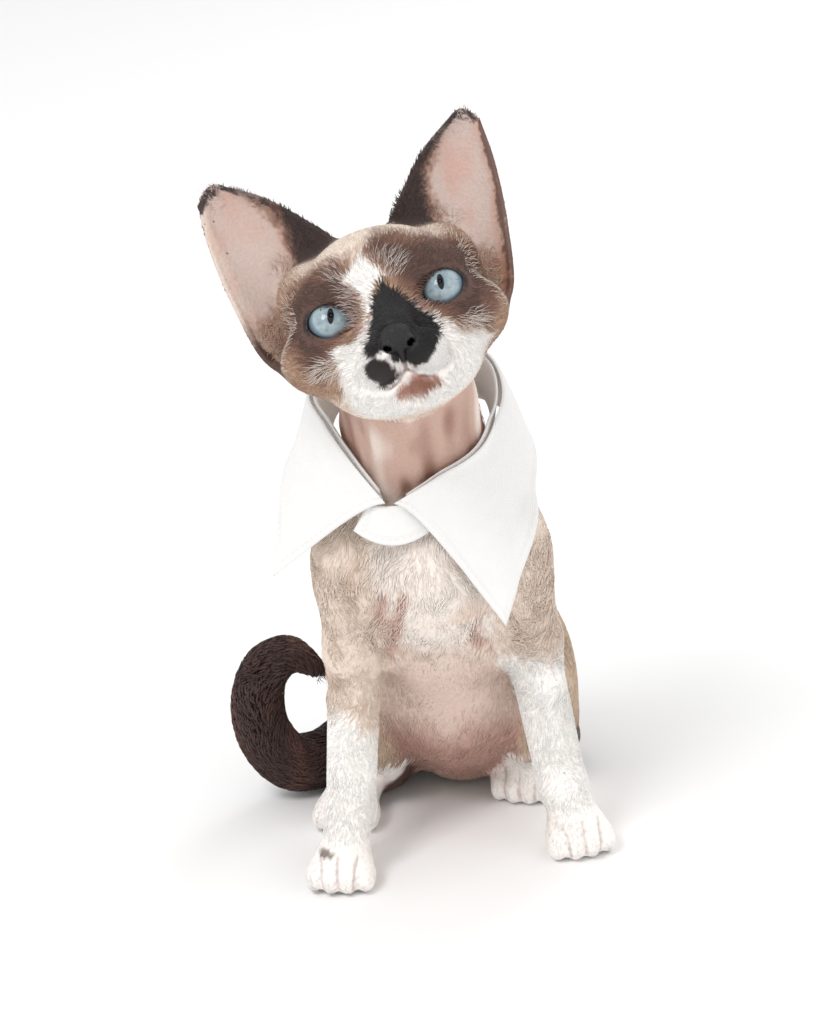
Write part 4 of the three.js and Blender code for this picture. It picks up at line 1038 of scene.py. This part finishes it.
def add_lid_rim(side, material):
    """The bare, dark edge of the lids: a thin closed tube along their almond opening."""
    line = from_head(lid_outline(side, 120))
    line = (np.roll(line, 1, axis=0) + 2 * line + np.roll(line, -1, axis=0)) / 4
    tangent = np.roll(line, -1, axis=0) - np.roll(line, 1, axis=0)
    tangent /= np.linalg.norm(tangent, axis=1)[:, None]
    out = line - from_head(vec(side * EYE_X, 0, 0))
    out /= np.linalg.norm(out, axis=1)[:, None]
    across = np.cross(tangent, out)
    sides = 10
    angle = np.linspace(0, 2 * np.pi, sides, endpoint=False)[:, None]
    rings = line[:, None] + (out[:, None] * np.cos(angle) * LID_RIM + across[:, None] * np.sin(angle) * 0.42)
    index = np.arange(len(line) * sides).reshape(len(line), sides)
    after, beside = np.roll(index, -1, axis=0), np.roll(index, -1, axis=1)
    faces = np.column_stack([index.ravel(), beside.ravel(), np.roll(after, -1, axis=1).ravel(),
                             after.ravel()])
    rim = make_mesh(f"lid_rim_{'left' if side > 0 else 'right'}", rings.reshape(-1, 3), faces)
    tones = np.ones((len(line) * sides, 1)) * PALETTE["rim"]
    inner = ease(0.6, 0.98, -np.cos(np.linspace(0, 2 * np.pi, len(line), endpoint=False))).repeat(sides)
    paint(rim, mix(tones, PALETTE["pink"] * 0.5, inner * 0.7))
    rim.data.materials.append(material)
    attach(rim, "root")


iris_material = eye_material()
rim_material = textured("rim_material", 1800, 0.2, 0.4, 0.35, coat=0.2)
for eye_side in (1, -1):
    add_eye(eye_side, iris_material)
    add_lid_rim(eye_side, rim_material)


NOSTRIL = on_face([3.0, 3.8, 4.6, 5.2, 5.7], [-19.4, -19.0, -18.4, -17.6, -16.7], form=NOSE_FORM)
NOSTRIL_FORM = chain(NOSTRIL + vec(0, 0.1, 0), [0.7, 0.95, 0.85, 0.65, 0.4])
CREASE = on_face(np.zeros(9), np.linspace(-16.5, -23, 9), form=NOSE_FORM)
CREASE_FORM = chain(CREASE - vec(0, 0.1, 0), np.linspace(0.05, 0.32, 9))


def nose_field(p):
    across = flipped(p)
    level = -smooth_min(-(NOSE_FORM[0](across) + 0.1), NOSTRIL_FORM[0](across), 0.8)
    return -smooth_min(-level, CREASE_FORM[0](p), 0.8)


NOSE_STEP = 0.28
nose_points, nose_quads = surface(nose_field, np.arange(-8, 8.1, NOSE_STEP), np.arange(-31, -14, NOSE_STEP),
                                  np.arange(-26, -8, NOSE_STEP))
nose = make_mesh("nose_leather", from_head(nose_points), nose_quads)
# Near-black painted shade inside the nostril openings.
nostril_shade_distance = NOSTRIL_FORM[0](flipped(nose_points))
leather = np.ones((len(nose_points), 1)) * colour("141112")
paint(nose, mix(leather, colour("020202"), ease(0.6, -0.1, nostril_shade_distance)))
nose.data.materials.append(textured("nose_material", 2600, 0.25, 0.9, 0.45, coat=0.06))
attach(nose, "root")
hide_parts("nose")


# Coat.
def base_level(p):
    return np.minimum(FLESH[0](p) + coat_depth(p), TAIL_FORM[0](p) + 1.0)


UNWRAP_STEP = 3.2


def unwrap():
    """An unwrap of the skin, on a coarse copy: its corners, triangles, their places and a tree."""
    spans = ((-92, 68), (-74, 128), (-3, 298))
    points, quads = surface(skin_field, *(np.arange(*span, UNWRAP_STEP) for span in spans))
    piece = make_mesh("unwrap", points, quads)
    bpy.context.view_layer.objects.active = piece
    piece.select_set(True)
    bpy.ops.object.mode_set(mode="EDIT")
    bpy.ops.mesh.select_all(action="SELECT")
    bpy.ops.uv.smart_project(angle_limit=66 * DEG, island_margin=0.003)
    bpy.ops.object.mode_set(mode="OBJECT")
    mesh = piece.data
    mesh.calc_loop_triangles()
    corners = np.array([t.vertices[:] for t in mesh.loop_triangles])
    loops = np.array([t.loops[:] for t in mesh.loop_triangles])
    flat = np.zeros(len(mesh.loops) * 2, np.float32)
    mesh.uv_layers.active.data.foreach_get("uv", flat)
    place = np.zeros(len(mesh.vertices) * 3, np.float32)
    mesh.vertices.foreach_get("co", place)
    place = place.reshape(-1, 3) / MM - SHIFT
    bpy.data.objects.remove(piece)
    tree = BVHTree.FromPolygons([tuple(p) for p in place], [tuple(c) for c in corners])
    return place, corners, flat.reshape(-1, 2)[loops], tree


UNWRAP = unwrap()


def unwrapped(p):
    place, corners, flat, tree = UNWRAP
    out = np.zeros((len(p), 2))
    for n, point in enumerate(p):
        spot, _, face, _ = tree.find_nearest(point)
        a, b, c = place[corners[face]]
        ab, ac, ap = b - a, c - a, np.array(spot) - a
        d00, d01, d11, d20, d21 = ab @ ab, ab @ ac, ac @ ac, ap @ ab, ap @ ac
        scale = d00 * d11 - d01 * d01
        v = (d11 * d20 - d01 * d21) / scale if scale else 0
        w = (d00 * d21 - d01 * d20) / scale if scale else 0
        out[n] = flat[face][0] * (1 - v - w) + flat[face][1] * v + flat[face][2] * w
    return out


def lie_of_coat(p, normal):
    """The way the hair lies: back from the nose, down the body and legs, out along the ears and tail."""
    h = to_head(p)
    total = np.zeros((len(p), 3))
    parts = []
    away = h - vec(0, -24, -12)
    away[:, 1] += 6
    parts.append((HEAD[0](p), away @ HEAD_R.T))
    parts.append((NECK_FORM[0](p) + 1, np.tile(vec(0, 0.25, -1), (len(p), 1))))
    parts.append((TRUNK_FORM[0](p), np.column_stack([p[:, 0] * 0.008, 0.25 + 0 * p[:, 1], -1 + 0 * p[:, 2]])))
    for side in (1, -1):
        toe = turn_z(FRONT[side]["heading"]) @ vec(0, -1, -0.25)
        low = ease(30, 10, p[:, 2])[:, None]
        parts.append((FRONT_FORMS[side][0](p), vec(0, 0.1, -1) * (1 - low) + toe * low))
        toe = turn_z(HIND[side]["heading"]) @ vec(0, -1, -0.2)
        low = ease(34, 12, p[:, 2])[:, None]
        parts.append((HIND_FORMS[side][0](p), vec(0, -0.35, -1) * (1 - low) + toe * low))
    nearest = np.argmin(((p[:, None] - TAIL_LINE[None])**2).sum(2), axis=1)
    tangent = np.gradient(TAIL_LINE, axis=0)[nearest]
    parts.append((TAIL_FORM[0](p) - 2, tangent))
    for side in (1, -1):
        out = h - vec(side * (EYE_X + 1), 0, -1)
        near = ease(13, 8.5, np.linalg.norm(out, axis=1))
        parts.append((6 - 11 * near, out @ HEAD_R.T))
    for level, way in parts:
        way = way / np.maximum(np.linalg.norm(way, axis=1), 1e-9)[:, None]
        total += way * np.exp(-np.clip(level, -5, 40) / 3)[:, None]
    for ear in EARS.values():
        near, place = ear.nearest(p)
        s, u = place.T
        up = from_head(ear_sheet(ear.side, np.minimum(s + 0.05, 1), u)) - from_head(ear_sheet(ear.side, s, u))
        up = up / np.maximum(np.linalg.norm(up, axis=1), 1e-9)[:, None]
        total += up * (ease(4, 1, near) * 8)[:, None]
    total -= (total * normal).sum(1)[:, None] * normal
    return total / np.maximum(np.linalg.norm(total, axis=1), 1e-9)[:, None]


face_corners = skin_points[skin_quads]
face_middle = face_corners.mean(1)
face_cross = np.cross(face_corners[:, 2] - face_corners[:, 0], face_corners[:, 3] - face_corners[:, 1])
face_area = np.linalg.norm(face_cross, axis=1) / 2
face_normal = face_cross / np.maximum(face_area * 2, 1e-9)[:, None]
face_head = to_head(face_middle)
face_level = {
    "head": HEAD[0](face_middle), "tail": TAIL_FORM[0](face_middle),
    "front": np.minimum(FRONT_FORMS[1][0](face_middle), FRONT_FORMS[-1][0](face_middle)),
    "hind": np.minimum(HIND_FORMS[1][0](face_middle), HIND_FORMS[-1][0](face_middle)),
}
ear_place = {side: ear.nearest(face_middle) for side, ear in EARS.items()}
face_ear = np.minimum(ear_place[1][0], ear_place[-1][0])
lip_gap = np.min([lip[0](face_middle) for lip in (*LIPS, PHILTRUM)], axis=0)
lid_points = np.vstack([LID_LINES[1][::3], LID_LINES[-1][::3]])
lid_gap = np.min([np.sqrt(((face_middle - point)**2).sum(1)) for point in lid_points], axis=0)
mid_x, mid_y, mid_z = face_middle.T
head_x, head_y, head_z = face_head.T


def scatter(share, count):
    """Roots spread evenly over the skin where share is above zero."""
    weight = face_area * share
    total = np.cumsum(weight)
    picks = (np.arange(count) + rng.random(count)) / count * total[-1]
    chosen = np.minimum(np.searchsorted(total, picks), len(weight) - 1)
    a, b = rng.random((2, count))
    quad = face_corners[chosen]
    top = quad[:, 0] * (1 - a)[:, None] + quad[:, 1] * a[:, None]
    bottom = quad[:, 3] * (1 - a)[:, None] + quad[:, 2] * a[:, None]
    return top * (1 - b)[:, None] + bottom * b[:, None], face_normal[chosen]


RING = ((-1.0, 0.0), (0.0, 1.0), (1.0, 0.0))


def add_tufts(name, share, count, length, width, lift, wave=0.0, cycles=0.8, twist=0.3,
              levels=(0, 0.36, 0.7, 1), hug=True, tone=None, pale=0.0,
              vary_tone=0.06, spread=0.35):
    """Locks of hair as thin solid wedges: three-cornered rings that narrow to a point."""
    roots, normals = scatter(share, count)
    way = lie_of_coat(roots, normals)
    side = np.cross(normals, way)
    swirl = noise(roots, 7, 61) * twist * 2.2 + rng.normal(0, twist * spread, count)
    way, side = (way * np.cos(swirl)[:, None] + side * np.sin(swirl)[:, None],
                 side * np.cos(swirl)[:, None] - way * np.sin(swirl)[:, None])
    vary = rng.uniform(0.75, 1.25, (4, count))
    run = length * vary[0]
    half = width * vary[1] / 2
    rise = lift * vary[2]
    phase = noise(roots, 9, 62) * 2.5 + rng.normal(0, 0.35, count)
    points = []
    for t in levels:
        sway = wave * (np.sin(phase + 2 * np.pi * cycles * t) - np.sin(phase))
        level = -0.25 + (rise + 0.25) * t**0.6
        centre = roots + way * (run * t)[:, None] + side * (sway * vary[3])[:, None]
        centre = centre + normals * level[:, None]
        if hug and t > 0:
            here = base_level(centre)
            centre = centre + normals * np.clip(level - here, -run * 0.5, run * 0.5)[:, None]
        narrow = {0: 0.8, 1: 0.0}.get(t, 1.05 - 0.55 * t)
        if narrow == 0:
            points.append(centre)
            continue
        for across, up in RING:
            beside = side * (half * narrow * across)[:, None]
            points.append(centre + beside + normals * (half * narrow * 0.55 * up)[:, None])
    rings = len(levels) - 1
    per = rings * 3 + 1
    cloud = np.stack(points, 1).reshape(-1, 3)
    cloud[:, 2] = np.maximum(cloud[:, 2], 0.06)
    wedge = [(0, 2, 1)]
    for ring in range(rings - 1):
        for n in range(3):
            a, b = ring * 3 + n, ring * 3 + (n + 1) % 3
            wedge += [(a, b, b + 3), (a, b + 3, a + 3)]
    wedge += [((rings - 1) * 3 + n, (rings - 1) * 3 + (n + 1) % 3, per - 1) for n in range(3)]
    wedge = np.array(wedge)
    faces = (wedge[None] + (np.arange(count) * per)[:, None, None]).reshape(-1, 3)
    base = markings(roots) if tone is None else np.tile(tone, (count, 1))
    base = base * rng.normal(1, vary_tone, (count, 1)) + pale
    fade = np.concatenate([np.repeat(np.linspace(0.93, 1.04, rings), 3), [1.08]])
    tones = np.clip(base[:, None] * fade[None, :, None], 0, 0.96)
    patch = unwrapped(roots)
    offsets = [(0.0015 * a, 0.003 * (t - 0.5)) for t in levels[:-1] for a, _ in RING] + [(0, 0.0015)]
    flat = patch[:, None] + np.array(offsets)[None]
    piece = make_mesh(name, cloud, faces)
    paint(piece, tones.reshape(-1, 3))
    layer = piece.data.uv_layers.new(name="OFBake")
    layer.data.foreach_set("uv", flat.reshape(-1, 2)[faces.ravel()].astype(np.float32).ravel())
    piece.data.materials.append(coat_material)
    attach(piece, "root")


coat_material = textured("coat_material", 500, 0.08, 0.0, 0.6, sheen=0.05)
is_ear = ease(4.5, 2.5, face_ear)
head_zone = ease(3.5, 0.5, face_level["head"])
is_head = head_zone * (1 - is_ear) * ease(1.8, 2.6, lid_gap) * ease(0.8, 1.5, lip_gap)
is_head *= ease(0.5, 1.0, np.minimum(SOCKETS[0][0](face_middle), SOCKETS[1][0](face_middle)))
is_nose = ease(0.0, 1.2, NOSE[0](face_middle))
is_tail = ease(1.5, -0.5, face_level["tail"]) * (1 - head_zone)
is_paw = ease(24, 19, mid_z) * np.maximum(ease(2, 0, face_level["front"]), ease(2, 0, face_level["hind"]))
is_paw *= (1 - is_tail) * ease(0.3, 1.2, mid_z)
is_leg = ease(2, -0.5, face_level["front"]) * (1 - is_paw) * (1 - is_tail) * ease(104, 96, mid_z)
is_body = (1 - head_zone) * (1 - is_ear) * (1 - is_tail) * (1 - is_paw) * (1 - is_leg) * ease(0.5, 1.5, mid_z)
thin = ease(34, 10, mid_y) * ease(110, 80, mid_z)
neck_front = ease(10, 2, NECK_FORM[0](face_middle)) * ease(150, 160, mid_z) * ease(20, 2, mid_y)
body_share = is_body * (1 - thin) * (1 - neck_front)
muzzle_near = ease(16, 8, np.linalg.norm(face_head - vec(0, -22, -22), axis=1))
left_half = mid_x > 0

add_tufts("coat_muzzle", is_head * is_nose * muzzle_near, 9000, 1.7, 0.34, 0.22, 0.08)
add_tufts("coat_face", is_head * (1 - muzzle_near) * ease(14, 4, head_y), 10500, 2.7, 0.42, 0.3, 0.16)
add_tufts("coat_crown", is_head * ease(4, 14, head_y), 6500, 3.2, 0.55, 0.35, 0.25)
add_tufts("coat_belly", is_body * thin * (1 - 0.5 * neck_front), 2600, 3.2, 0.3, 0.1, 0.3,
          vary_tone=0.03, pale=0.05)
add_tufts("coat_body_left", body_share * left_half, 10500, 5.0, 0.74, 0.32, 0.6, vary_tone=0.035)
add_tufts("coat_body_right", body_share * ~left_half, 10500, 5.0, 0.74, 0.32, 0.6, vary_tone=0.035)
add_tufts("coat_legs", is_leg, 10000, 3.2, 0.5, 0.2, 0.35, vary_tone=0.03)
add_tufts("coat_paws", is_paw, 7000, 1.9, 0.4, 0.14, 0.1, vary_tone=0.025)
add_tufts("coat_tail", is_tail, 7000, 6.5, 0.95, 0.8, 0.8, vary_tone=0.09)

ear_front = np.zeros(len(face_middle), bool)
ear_along, ear_across = np.zeros(len(face_middle)), np.zeros(len(face_middle))
for ear_side, (reach, place) in ear_place.items():
    here = reach < 4.5
    sheet = ear_sheet(ear_side, place[:, 0], place[:, 1])
    ear_front |= here & (sheet[:, 1] > head_y)
    ear_along = np.where(here, place[:, 0], ear_along)
    ear_across = np.where(here, place[:, 1], ear_across)
add_tufts("coat_ear_backs", is_ear * ~ear_front, 6500, 1.5, 0.38, 0.12, 0.1, hug=False)
low_ear = ease(0.62, 0.22, ear_along)
dark_base = ease(0.1 + 0.38 * low_ear, 0.04 + 0.34 * low_ear, ear_across)
add_tufts("coat_ear_rims", is_ear * ear_front * dark_base, 2200, 2.0, 0.34, 0.2, 0.2,
          hug=False, twist=0.7)
pocket = is_ear * ear_front * ease(0.4, 0.3, ear_along)
pocket *= ease(0.52, 0.7, ear_across) * ease(0.98, 0.92, ear_across)
add_tufts("hair_ear_pocket", pocket, 480, 4.2, 0.3, 1.0, 1.2, 0.9, twist=1.3, hug=False,
          tone=colour("cfb19b"), vary_tone=0.1)
cup_edge = ease(0.5, 0.3, ear_along) * ease(0.55, 0.45, ear_across) * ease(0.3, 0.42, ear_across)
add_tufts("hair_ear_edge", is_ear * ear_front * cup_edge, 150, 4.5, 0.22, 1.2, 1.3, 0.9, twist=1.3,
          hug=False, tone=colour("d9c2b4"), vary_tone=0.1)
cup_tip = ease(0.84, 0.93, ear_along) * ease(0.1, 0.2, ear_across) * ease(0.8, 0.6, ear_across)
add_tufts("hair_ear_tips", is_ear * ear_front * cup_tip, 90, 3.2, 0.16, 0.7, 0.8, 0.8, twist=1.4,
          hug=False, tone=colour("dccdc6"), vary_tone=0.08)

temple = is_head * ease(27, 33, np.abs(head_x)) * ease(-3, 3, head_y) * ease(16, 9, head_y)
temple *= ease(-14, -6, head_z)
add_tufts("hair_temples", temple, 520, 4.4, 0.2, 0.8, 0.5, tone=colour("ead9cc"),
          vary_tone=0.06)
front_face = is_head * ease(6, 0, head_y) * ease(4.2, 6.5, lid_gap)
brow = blob(head_x, head_z, (5, 11), (4.5, 6)) + 0.8 * blob(head_x, head_z, (-10, 2), (3.5, 7))
brow += 0.6 * blob(head_x, head_z, (-13, 14), (4, 4))
under = blob(np.abs(head_x), head_z, (25, -15), (6, 3))
add_tufts("hair_white_brow", front_face * (brow > 0.25) * brow, 240, 5.0, 0.13, 0.9, 0.5,
          tone=colour("dccfc8"), vary_tone=0.09)
add_tufts("hair_white_cheek", front_face * (under > 0.25) * under, 260, 5.2, 0.16, 0.9, 0.6,
          tone=colour("e9dcd2"), vary_tone=0.05)
pads = blob(np.abs(head_x), head_z, (14.5, -23), (2, 2.6))
add_tufts("whiskers", front_face * (pads > 0.4), 16, 13, 0.15, 3.0, 2.5, 0.5, twist=0.4,
          levels=(0, 0.2, 0.4, 0.6, 0.8, 1), hug=False, tone=colour("efe8e2"),
          vary_tone=0.03, spread=1.0)
shoulder_curl = is_leg * ease(58, 70, mid_z)
shoulder_curl += is_body * ease(28, 34, np.abs(mid_x)) * ease(60, 40, mid_y) * ease(90, 100, mid_z)
shoulder_curl *= ease(-0.1, 0.7, noise(face_middle, CURL, 36))
add_tufts("coat_curls", shoulder_curl, 2600, 6.5, 0.55, 0.5, 1.5, 0.7, twist=0.9, vary_tone=0.05)


# Collar.
NAPE_LEFT, NAPE_RIGHT = vec(-1.8, 33, 202), vec(-2.2, 33, 202)
FOLD_LEFT = [vec(-8.8, -27.4, 157.9), vec(8, -27, 167.5), vec(23, -12, 175), vec(30.5, 8, 185),
             vec(24, 25, 196), NAPE_LEFT]
FOLD_RIGHT = [vec(-11.8, -26.9, 157.9), vec(-23, -24, 173), vec(-33.5, -10, 184), vec(-40, 7, 190),
              vec(-29, 25, 198), NAPE_RIGHT]
FREE_LEFT = [vec(27.5, -19, 104.5), vec(33, -17, 120), vec(39.5, 2, 145), vec(39, 26, 160), vec(23, 46, 169),
             vec(-1.8, 52, 172)]
FREE_RIGHT = [vec(-57, -13, 126), vec(-55, -3, 145), vec(-52, 12, 160), vec(-45, 30, 167), vec(-26, 46, 171),
              vec(-2.2, 52, 172)]
NECK_AXIS = (NECK[1] - NECK[0]) / np.linalg.norm(NECK[1] - NECK[0])
HALF_CLOTH = 0.5
STITCH_LINE, STITCH_STEP = 2.6, 2.6
LEAF_GRID, STAND_GRID, FRONT_GRID = (52, 116), (26, 220), (30, 48)


def clear_of(p, distance):
    """The points pushed out of the body until they lie the given distance clear of it."""
    for _ in range(12):
        p = p + slope_of(FLESH[0], p, 0.5) * np.maximum(distance - FLESH[0](p), 0)[:, None]
    return p


def smoothed(grid, rounds):
    for _ in range(rounds):
        grid[1:-1] = (grid[:-2] + 2 * grid[1:-1] + grid[2:]) / 4
        grid[:, 1:-1] = (grid[:, :-2] + 2 * grid[:, 1:-1] + grid[:, 2:]) / 4
    return grid


def leaf_grid(fold, free, rows, columns):
    s, u = np.linspace(0, 1, rows + 1)[:, None, None], np.linspace(0, 1, columns + 1)
    top, bottom = catmull(fold, u), catmull(free, u)
    out = (bottom - top) * vec(1, 1, 0)
    out /= np.linalg.norm(out, axis=1)[:, None]
    swell = np.sin(np.pi * np.sqrt(s))
    grid = top + (bottom - top) * s + out * 2.5 * swell + vec(0, 0, 1.25) * swell
    gap = np.broadcast_to(3.8 - 1.6 * np.minimum(1, 2 * s), (rows + 1, columns + 1, 1)).ravel()
    return smoothed(clear_of(grid.reshape(-1, 3), gap).reshape(grid.shape), 6)


def stand_grid(rows, columns):
    fold = [*FOLD_LEFT[:-1], *FOLD_RIGHT[:-1][::-1]]
    middle = np.mean(fold, axis=0)
    line = catmull(fold, np.linspace(0.03, 0.97, columns + 1))
    inward = (middle - line) * vec(1, 1, 0)
    inward /= np.linalg.norm(inward, axis=1)[:, None]
    down = np.linspace(0, 1, rows + 1)[:, None, None]
    grid = line + inward * (2.2 + 4 * down) - NECK_AXIS * 20 * down
    return smoothed(clear_of(grid.reshape(-1, 3), 1.45).reshape(grid.shape), 6)


def front_grid(rows, columns):
    across = np.linspace(-1, 1, columns + 1)[None]
    r = np.linspace(0, 1, rows + 1)[:, None]
    down = 2 + 16 * r * (1 - 0.35 * across**2)
    width = 15 * (0.6 + 0.4 * r)
    grid = vec(-10.1, -25, 158) + np.stack([width * across, 0.1 * down + 3 * across**2, -down], -1)
    return smoothed(clear_of(grid.reshape(-1, 3), 1.0).reshape(grid.shape), 3)


def cloth(name, grid, hemmed, material, **held):
    """A sheet with rounded, hemmed and stitched edges, closed all round."""
    rows, columns = grid.shape[:2]
    flow_u, flow_s = np.gradient(grid, axis=1), np.gradient(grid, axis=0)
    normal = np.cross(flow_u, flow_s)
    normal /= np.maximum(np.linalg.norm(normal, axis=2), 1e-9)[..., None]
    step_s = np.linalg.norm(np.diff(grid, axis=0), axis=2)
    step_u = np.linalg.norm(np.diff(grid, axis=1), axis=2)
    from_top = np.vstack([np.zeros((1, columns)), np.cumsum(step_s, 0)])
    from_start = np.hstack([np.zeros((rows, 1)), np.cumsum(step_u, 1)])
    edges = {"top": from_top, "bottom": from_top[-1:] - from_top, "start": from_start,
             "end": from_start[:, -1:] - from_start}
    edge = np.min(list(edges.values()), axis=0)
    hem = np.min([edges[side] for side in hemmed], axis=0)
    crimp = noise(grid.reshape(-1, 3), 9, 71).reshape(rows, columns) * 0.22
    half = HALF_CLOTH * np.sqrt(1 - np.clip(1 - edge / 0.8, 0, 1)**2) * 0.92 + HALF_CLOTH * 0.08
    half = half + 0.12 * ease(3.9, 3.2, hem) * ease(0, 0.8, edge)
    half = half - 0.16 * np.exp(-((hem - STITCH_LINE) / 0.4)**2)
    centre = grid + normal * (crimp * ease(0, 4, edge))[..., None]
    points = np.concatenate([(centre + normal * half[..., None]).reshape(-1, 3),
                             (centre - normal * half[..., None]).reshape(-1, 3)])
    n = rows * columns
    index = np.arange(n).reshape(rows, columns)
    corners = (index[:-1, :-1], index[:-1, 1:], index[1:, 1:], index[1:, :-1])
    front = np.column_stack([corner.ravel() for corner in corners])
    faces = [front, front[:, ::-1] + n]
    loop = np.concatenate([index[0], index[1:, -1], index[-1, -2::-1], index[-2:0:-1, 0]])
    after = np.roll(loop, -1)
    faces.append(np.column_stack([loop, loop + n, after + n, after]))
    piece = make_mesh(name, points, np.concatenate(faces))
    along = np.where(np.minimum(edges["top"], edges["bottom"]) < np.minimum(edges["start"], edges["end"]),
                     from_start, from_top)
    dashes = 0.5 + 0.5 * np.sin(along * 2 * np.pi / STITCH_STEP)
    stitch = np.exp(-((hem - STITCH_LINE) / 0.35)**2) * dashes
    shade = 1 - 0.1 * stitch - 0.05 * np.exp(-((hem - 3.7) / 0.3)**2)
    paint(piece, np.tile(shade.reshape(-1, 1) * colour("f1f0ee"), (2, 1)))
    piece.data.materials.append(material)
    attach(piece, "root")
    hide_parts(name.replace("_cloth", ""))


def cloth_material():
    """Fine plain weave: two crossed sets of threads as bump, over the painted shade."""
    material = textured("cloth_material", 160, 0.03, 0.12, 0.85, sheen=0.2)
    nodes, links = material.node_tree.nodes, material.node_tree.links
    shader = nodes["Principled BSDF"]
    place = nodes["Texture Coordinate"]
    total = None
    for direction in ("X", "Z"):
        thread = nodes.new("ShaderNodeTexWave")
        thread.bands_direction = direction
        set_inputs(thread, Scale=420, Distortion=1.5, Detail=1)
        links.new(place.outputs["Object"], thread.inputs["Vector"])
        if total is None:
            total = thread.outputs["Fac"]
        else:
            both = nodes.new("ShaderNodeMath")
            links.new(total, both.inputs[0])
            links.new(thread.outputs["Fac"], both.inputs[1])
            total = both.outputs[0]
    weave = nodes.new("ShaderNodeBump")
    set_inputs(weave, Strength=0.25, Distance=0.0002)
    links.new(total, weave.inputs["Height"])
    links.new(shader.inputs["Normal"].links[0].from_socket, weave.inputs["Normal"])
    links.new(weave.outputs["Normal"], shader.inputs["Normal"])
    set_inputs(shader, Subsurface_Weight=0.0)
    return material


weave = cloth_material()
cloth("collar_leaf_left_cloth", leaf_grid(FOLD_LEFT, FREE_LEFT, *LEAF_GRID), ("bottom", "start"), weave,
      held="folded", rests_on=["skin"])
cloth("collar_leaf_right_cloth", leaf_grid(FOLD_RIGHT, FREE_RIGHT, *LEAF_GRID), ("bottom", "start"), weave,
      held="folded", rests_on=["skin"])
cloth("collar_stand_cloth", stand_grid(*STAND_GRID), ("top", "bottom"), weave, held="folded",
      rests_on=["skin"])
cloth("collar_front_cloth", front_grid(*FRONT_GRID), ("bottom", "start", "end"), weave, held="laid",
      rests_on=["skin"])

add_camera()
add_stage()
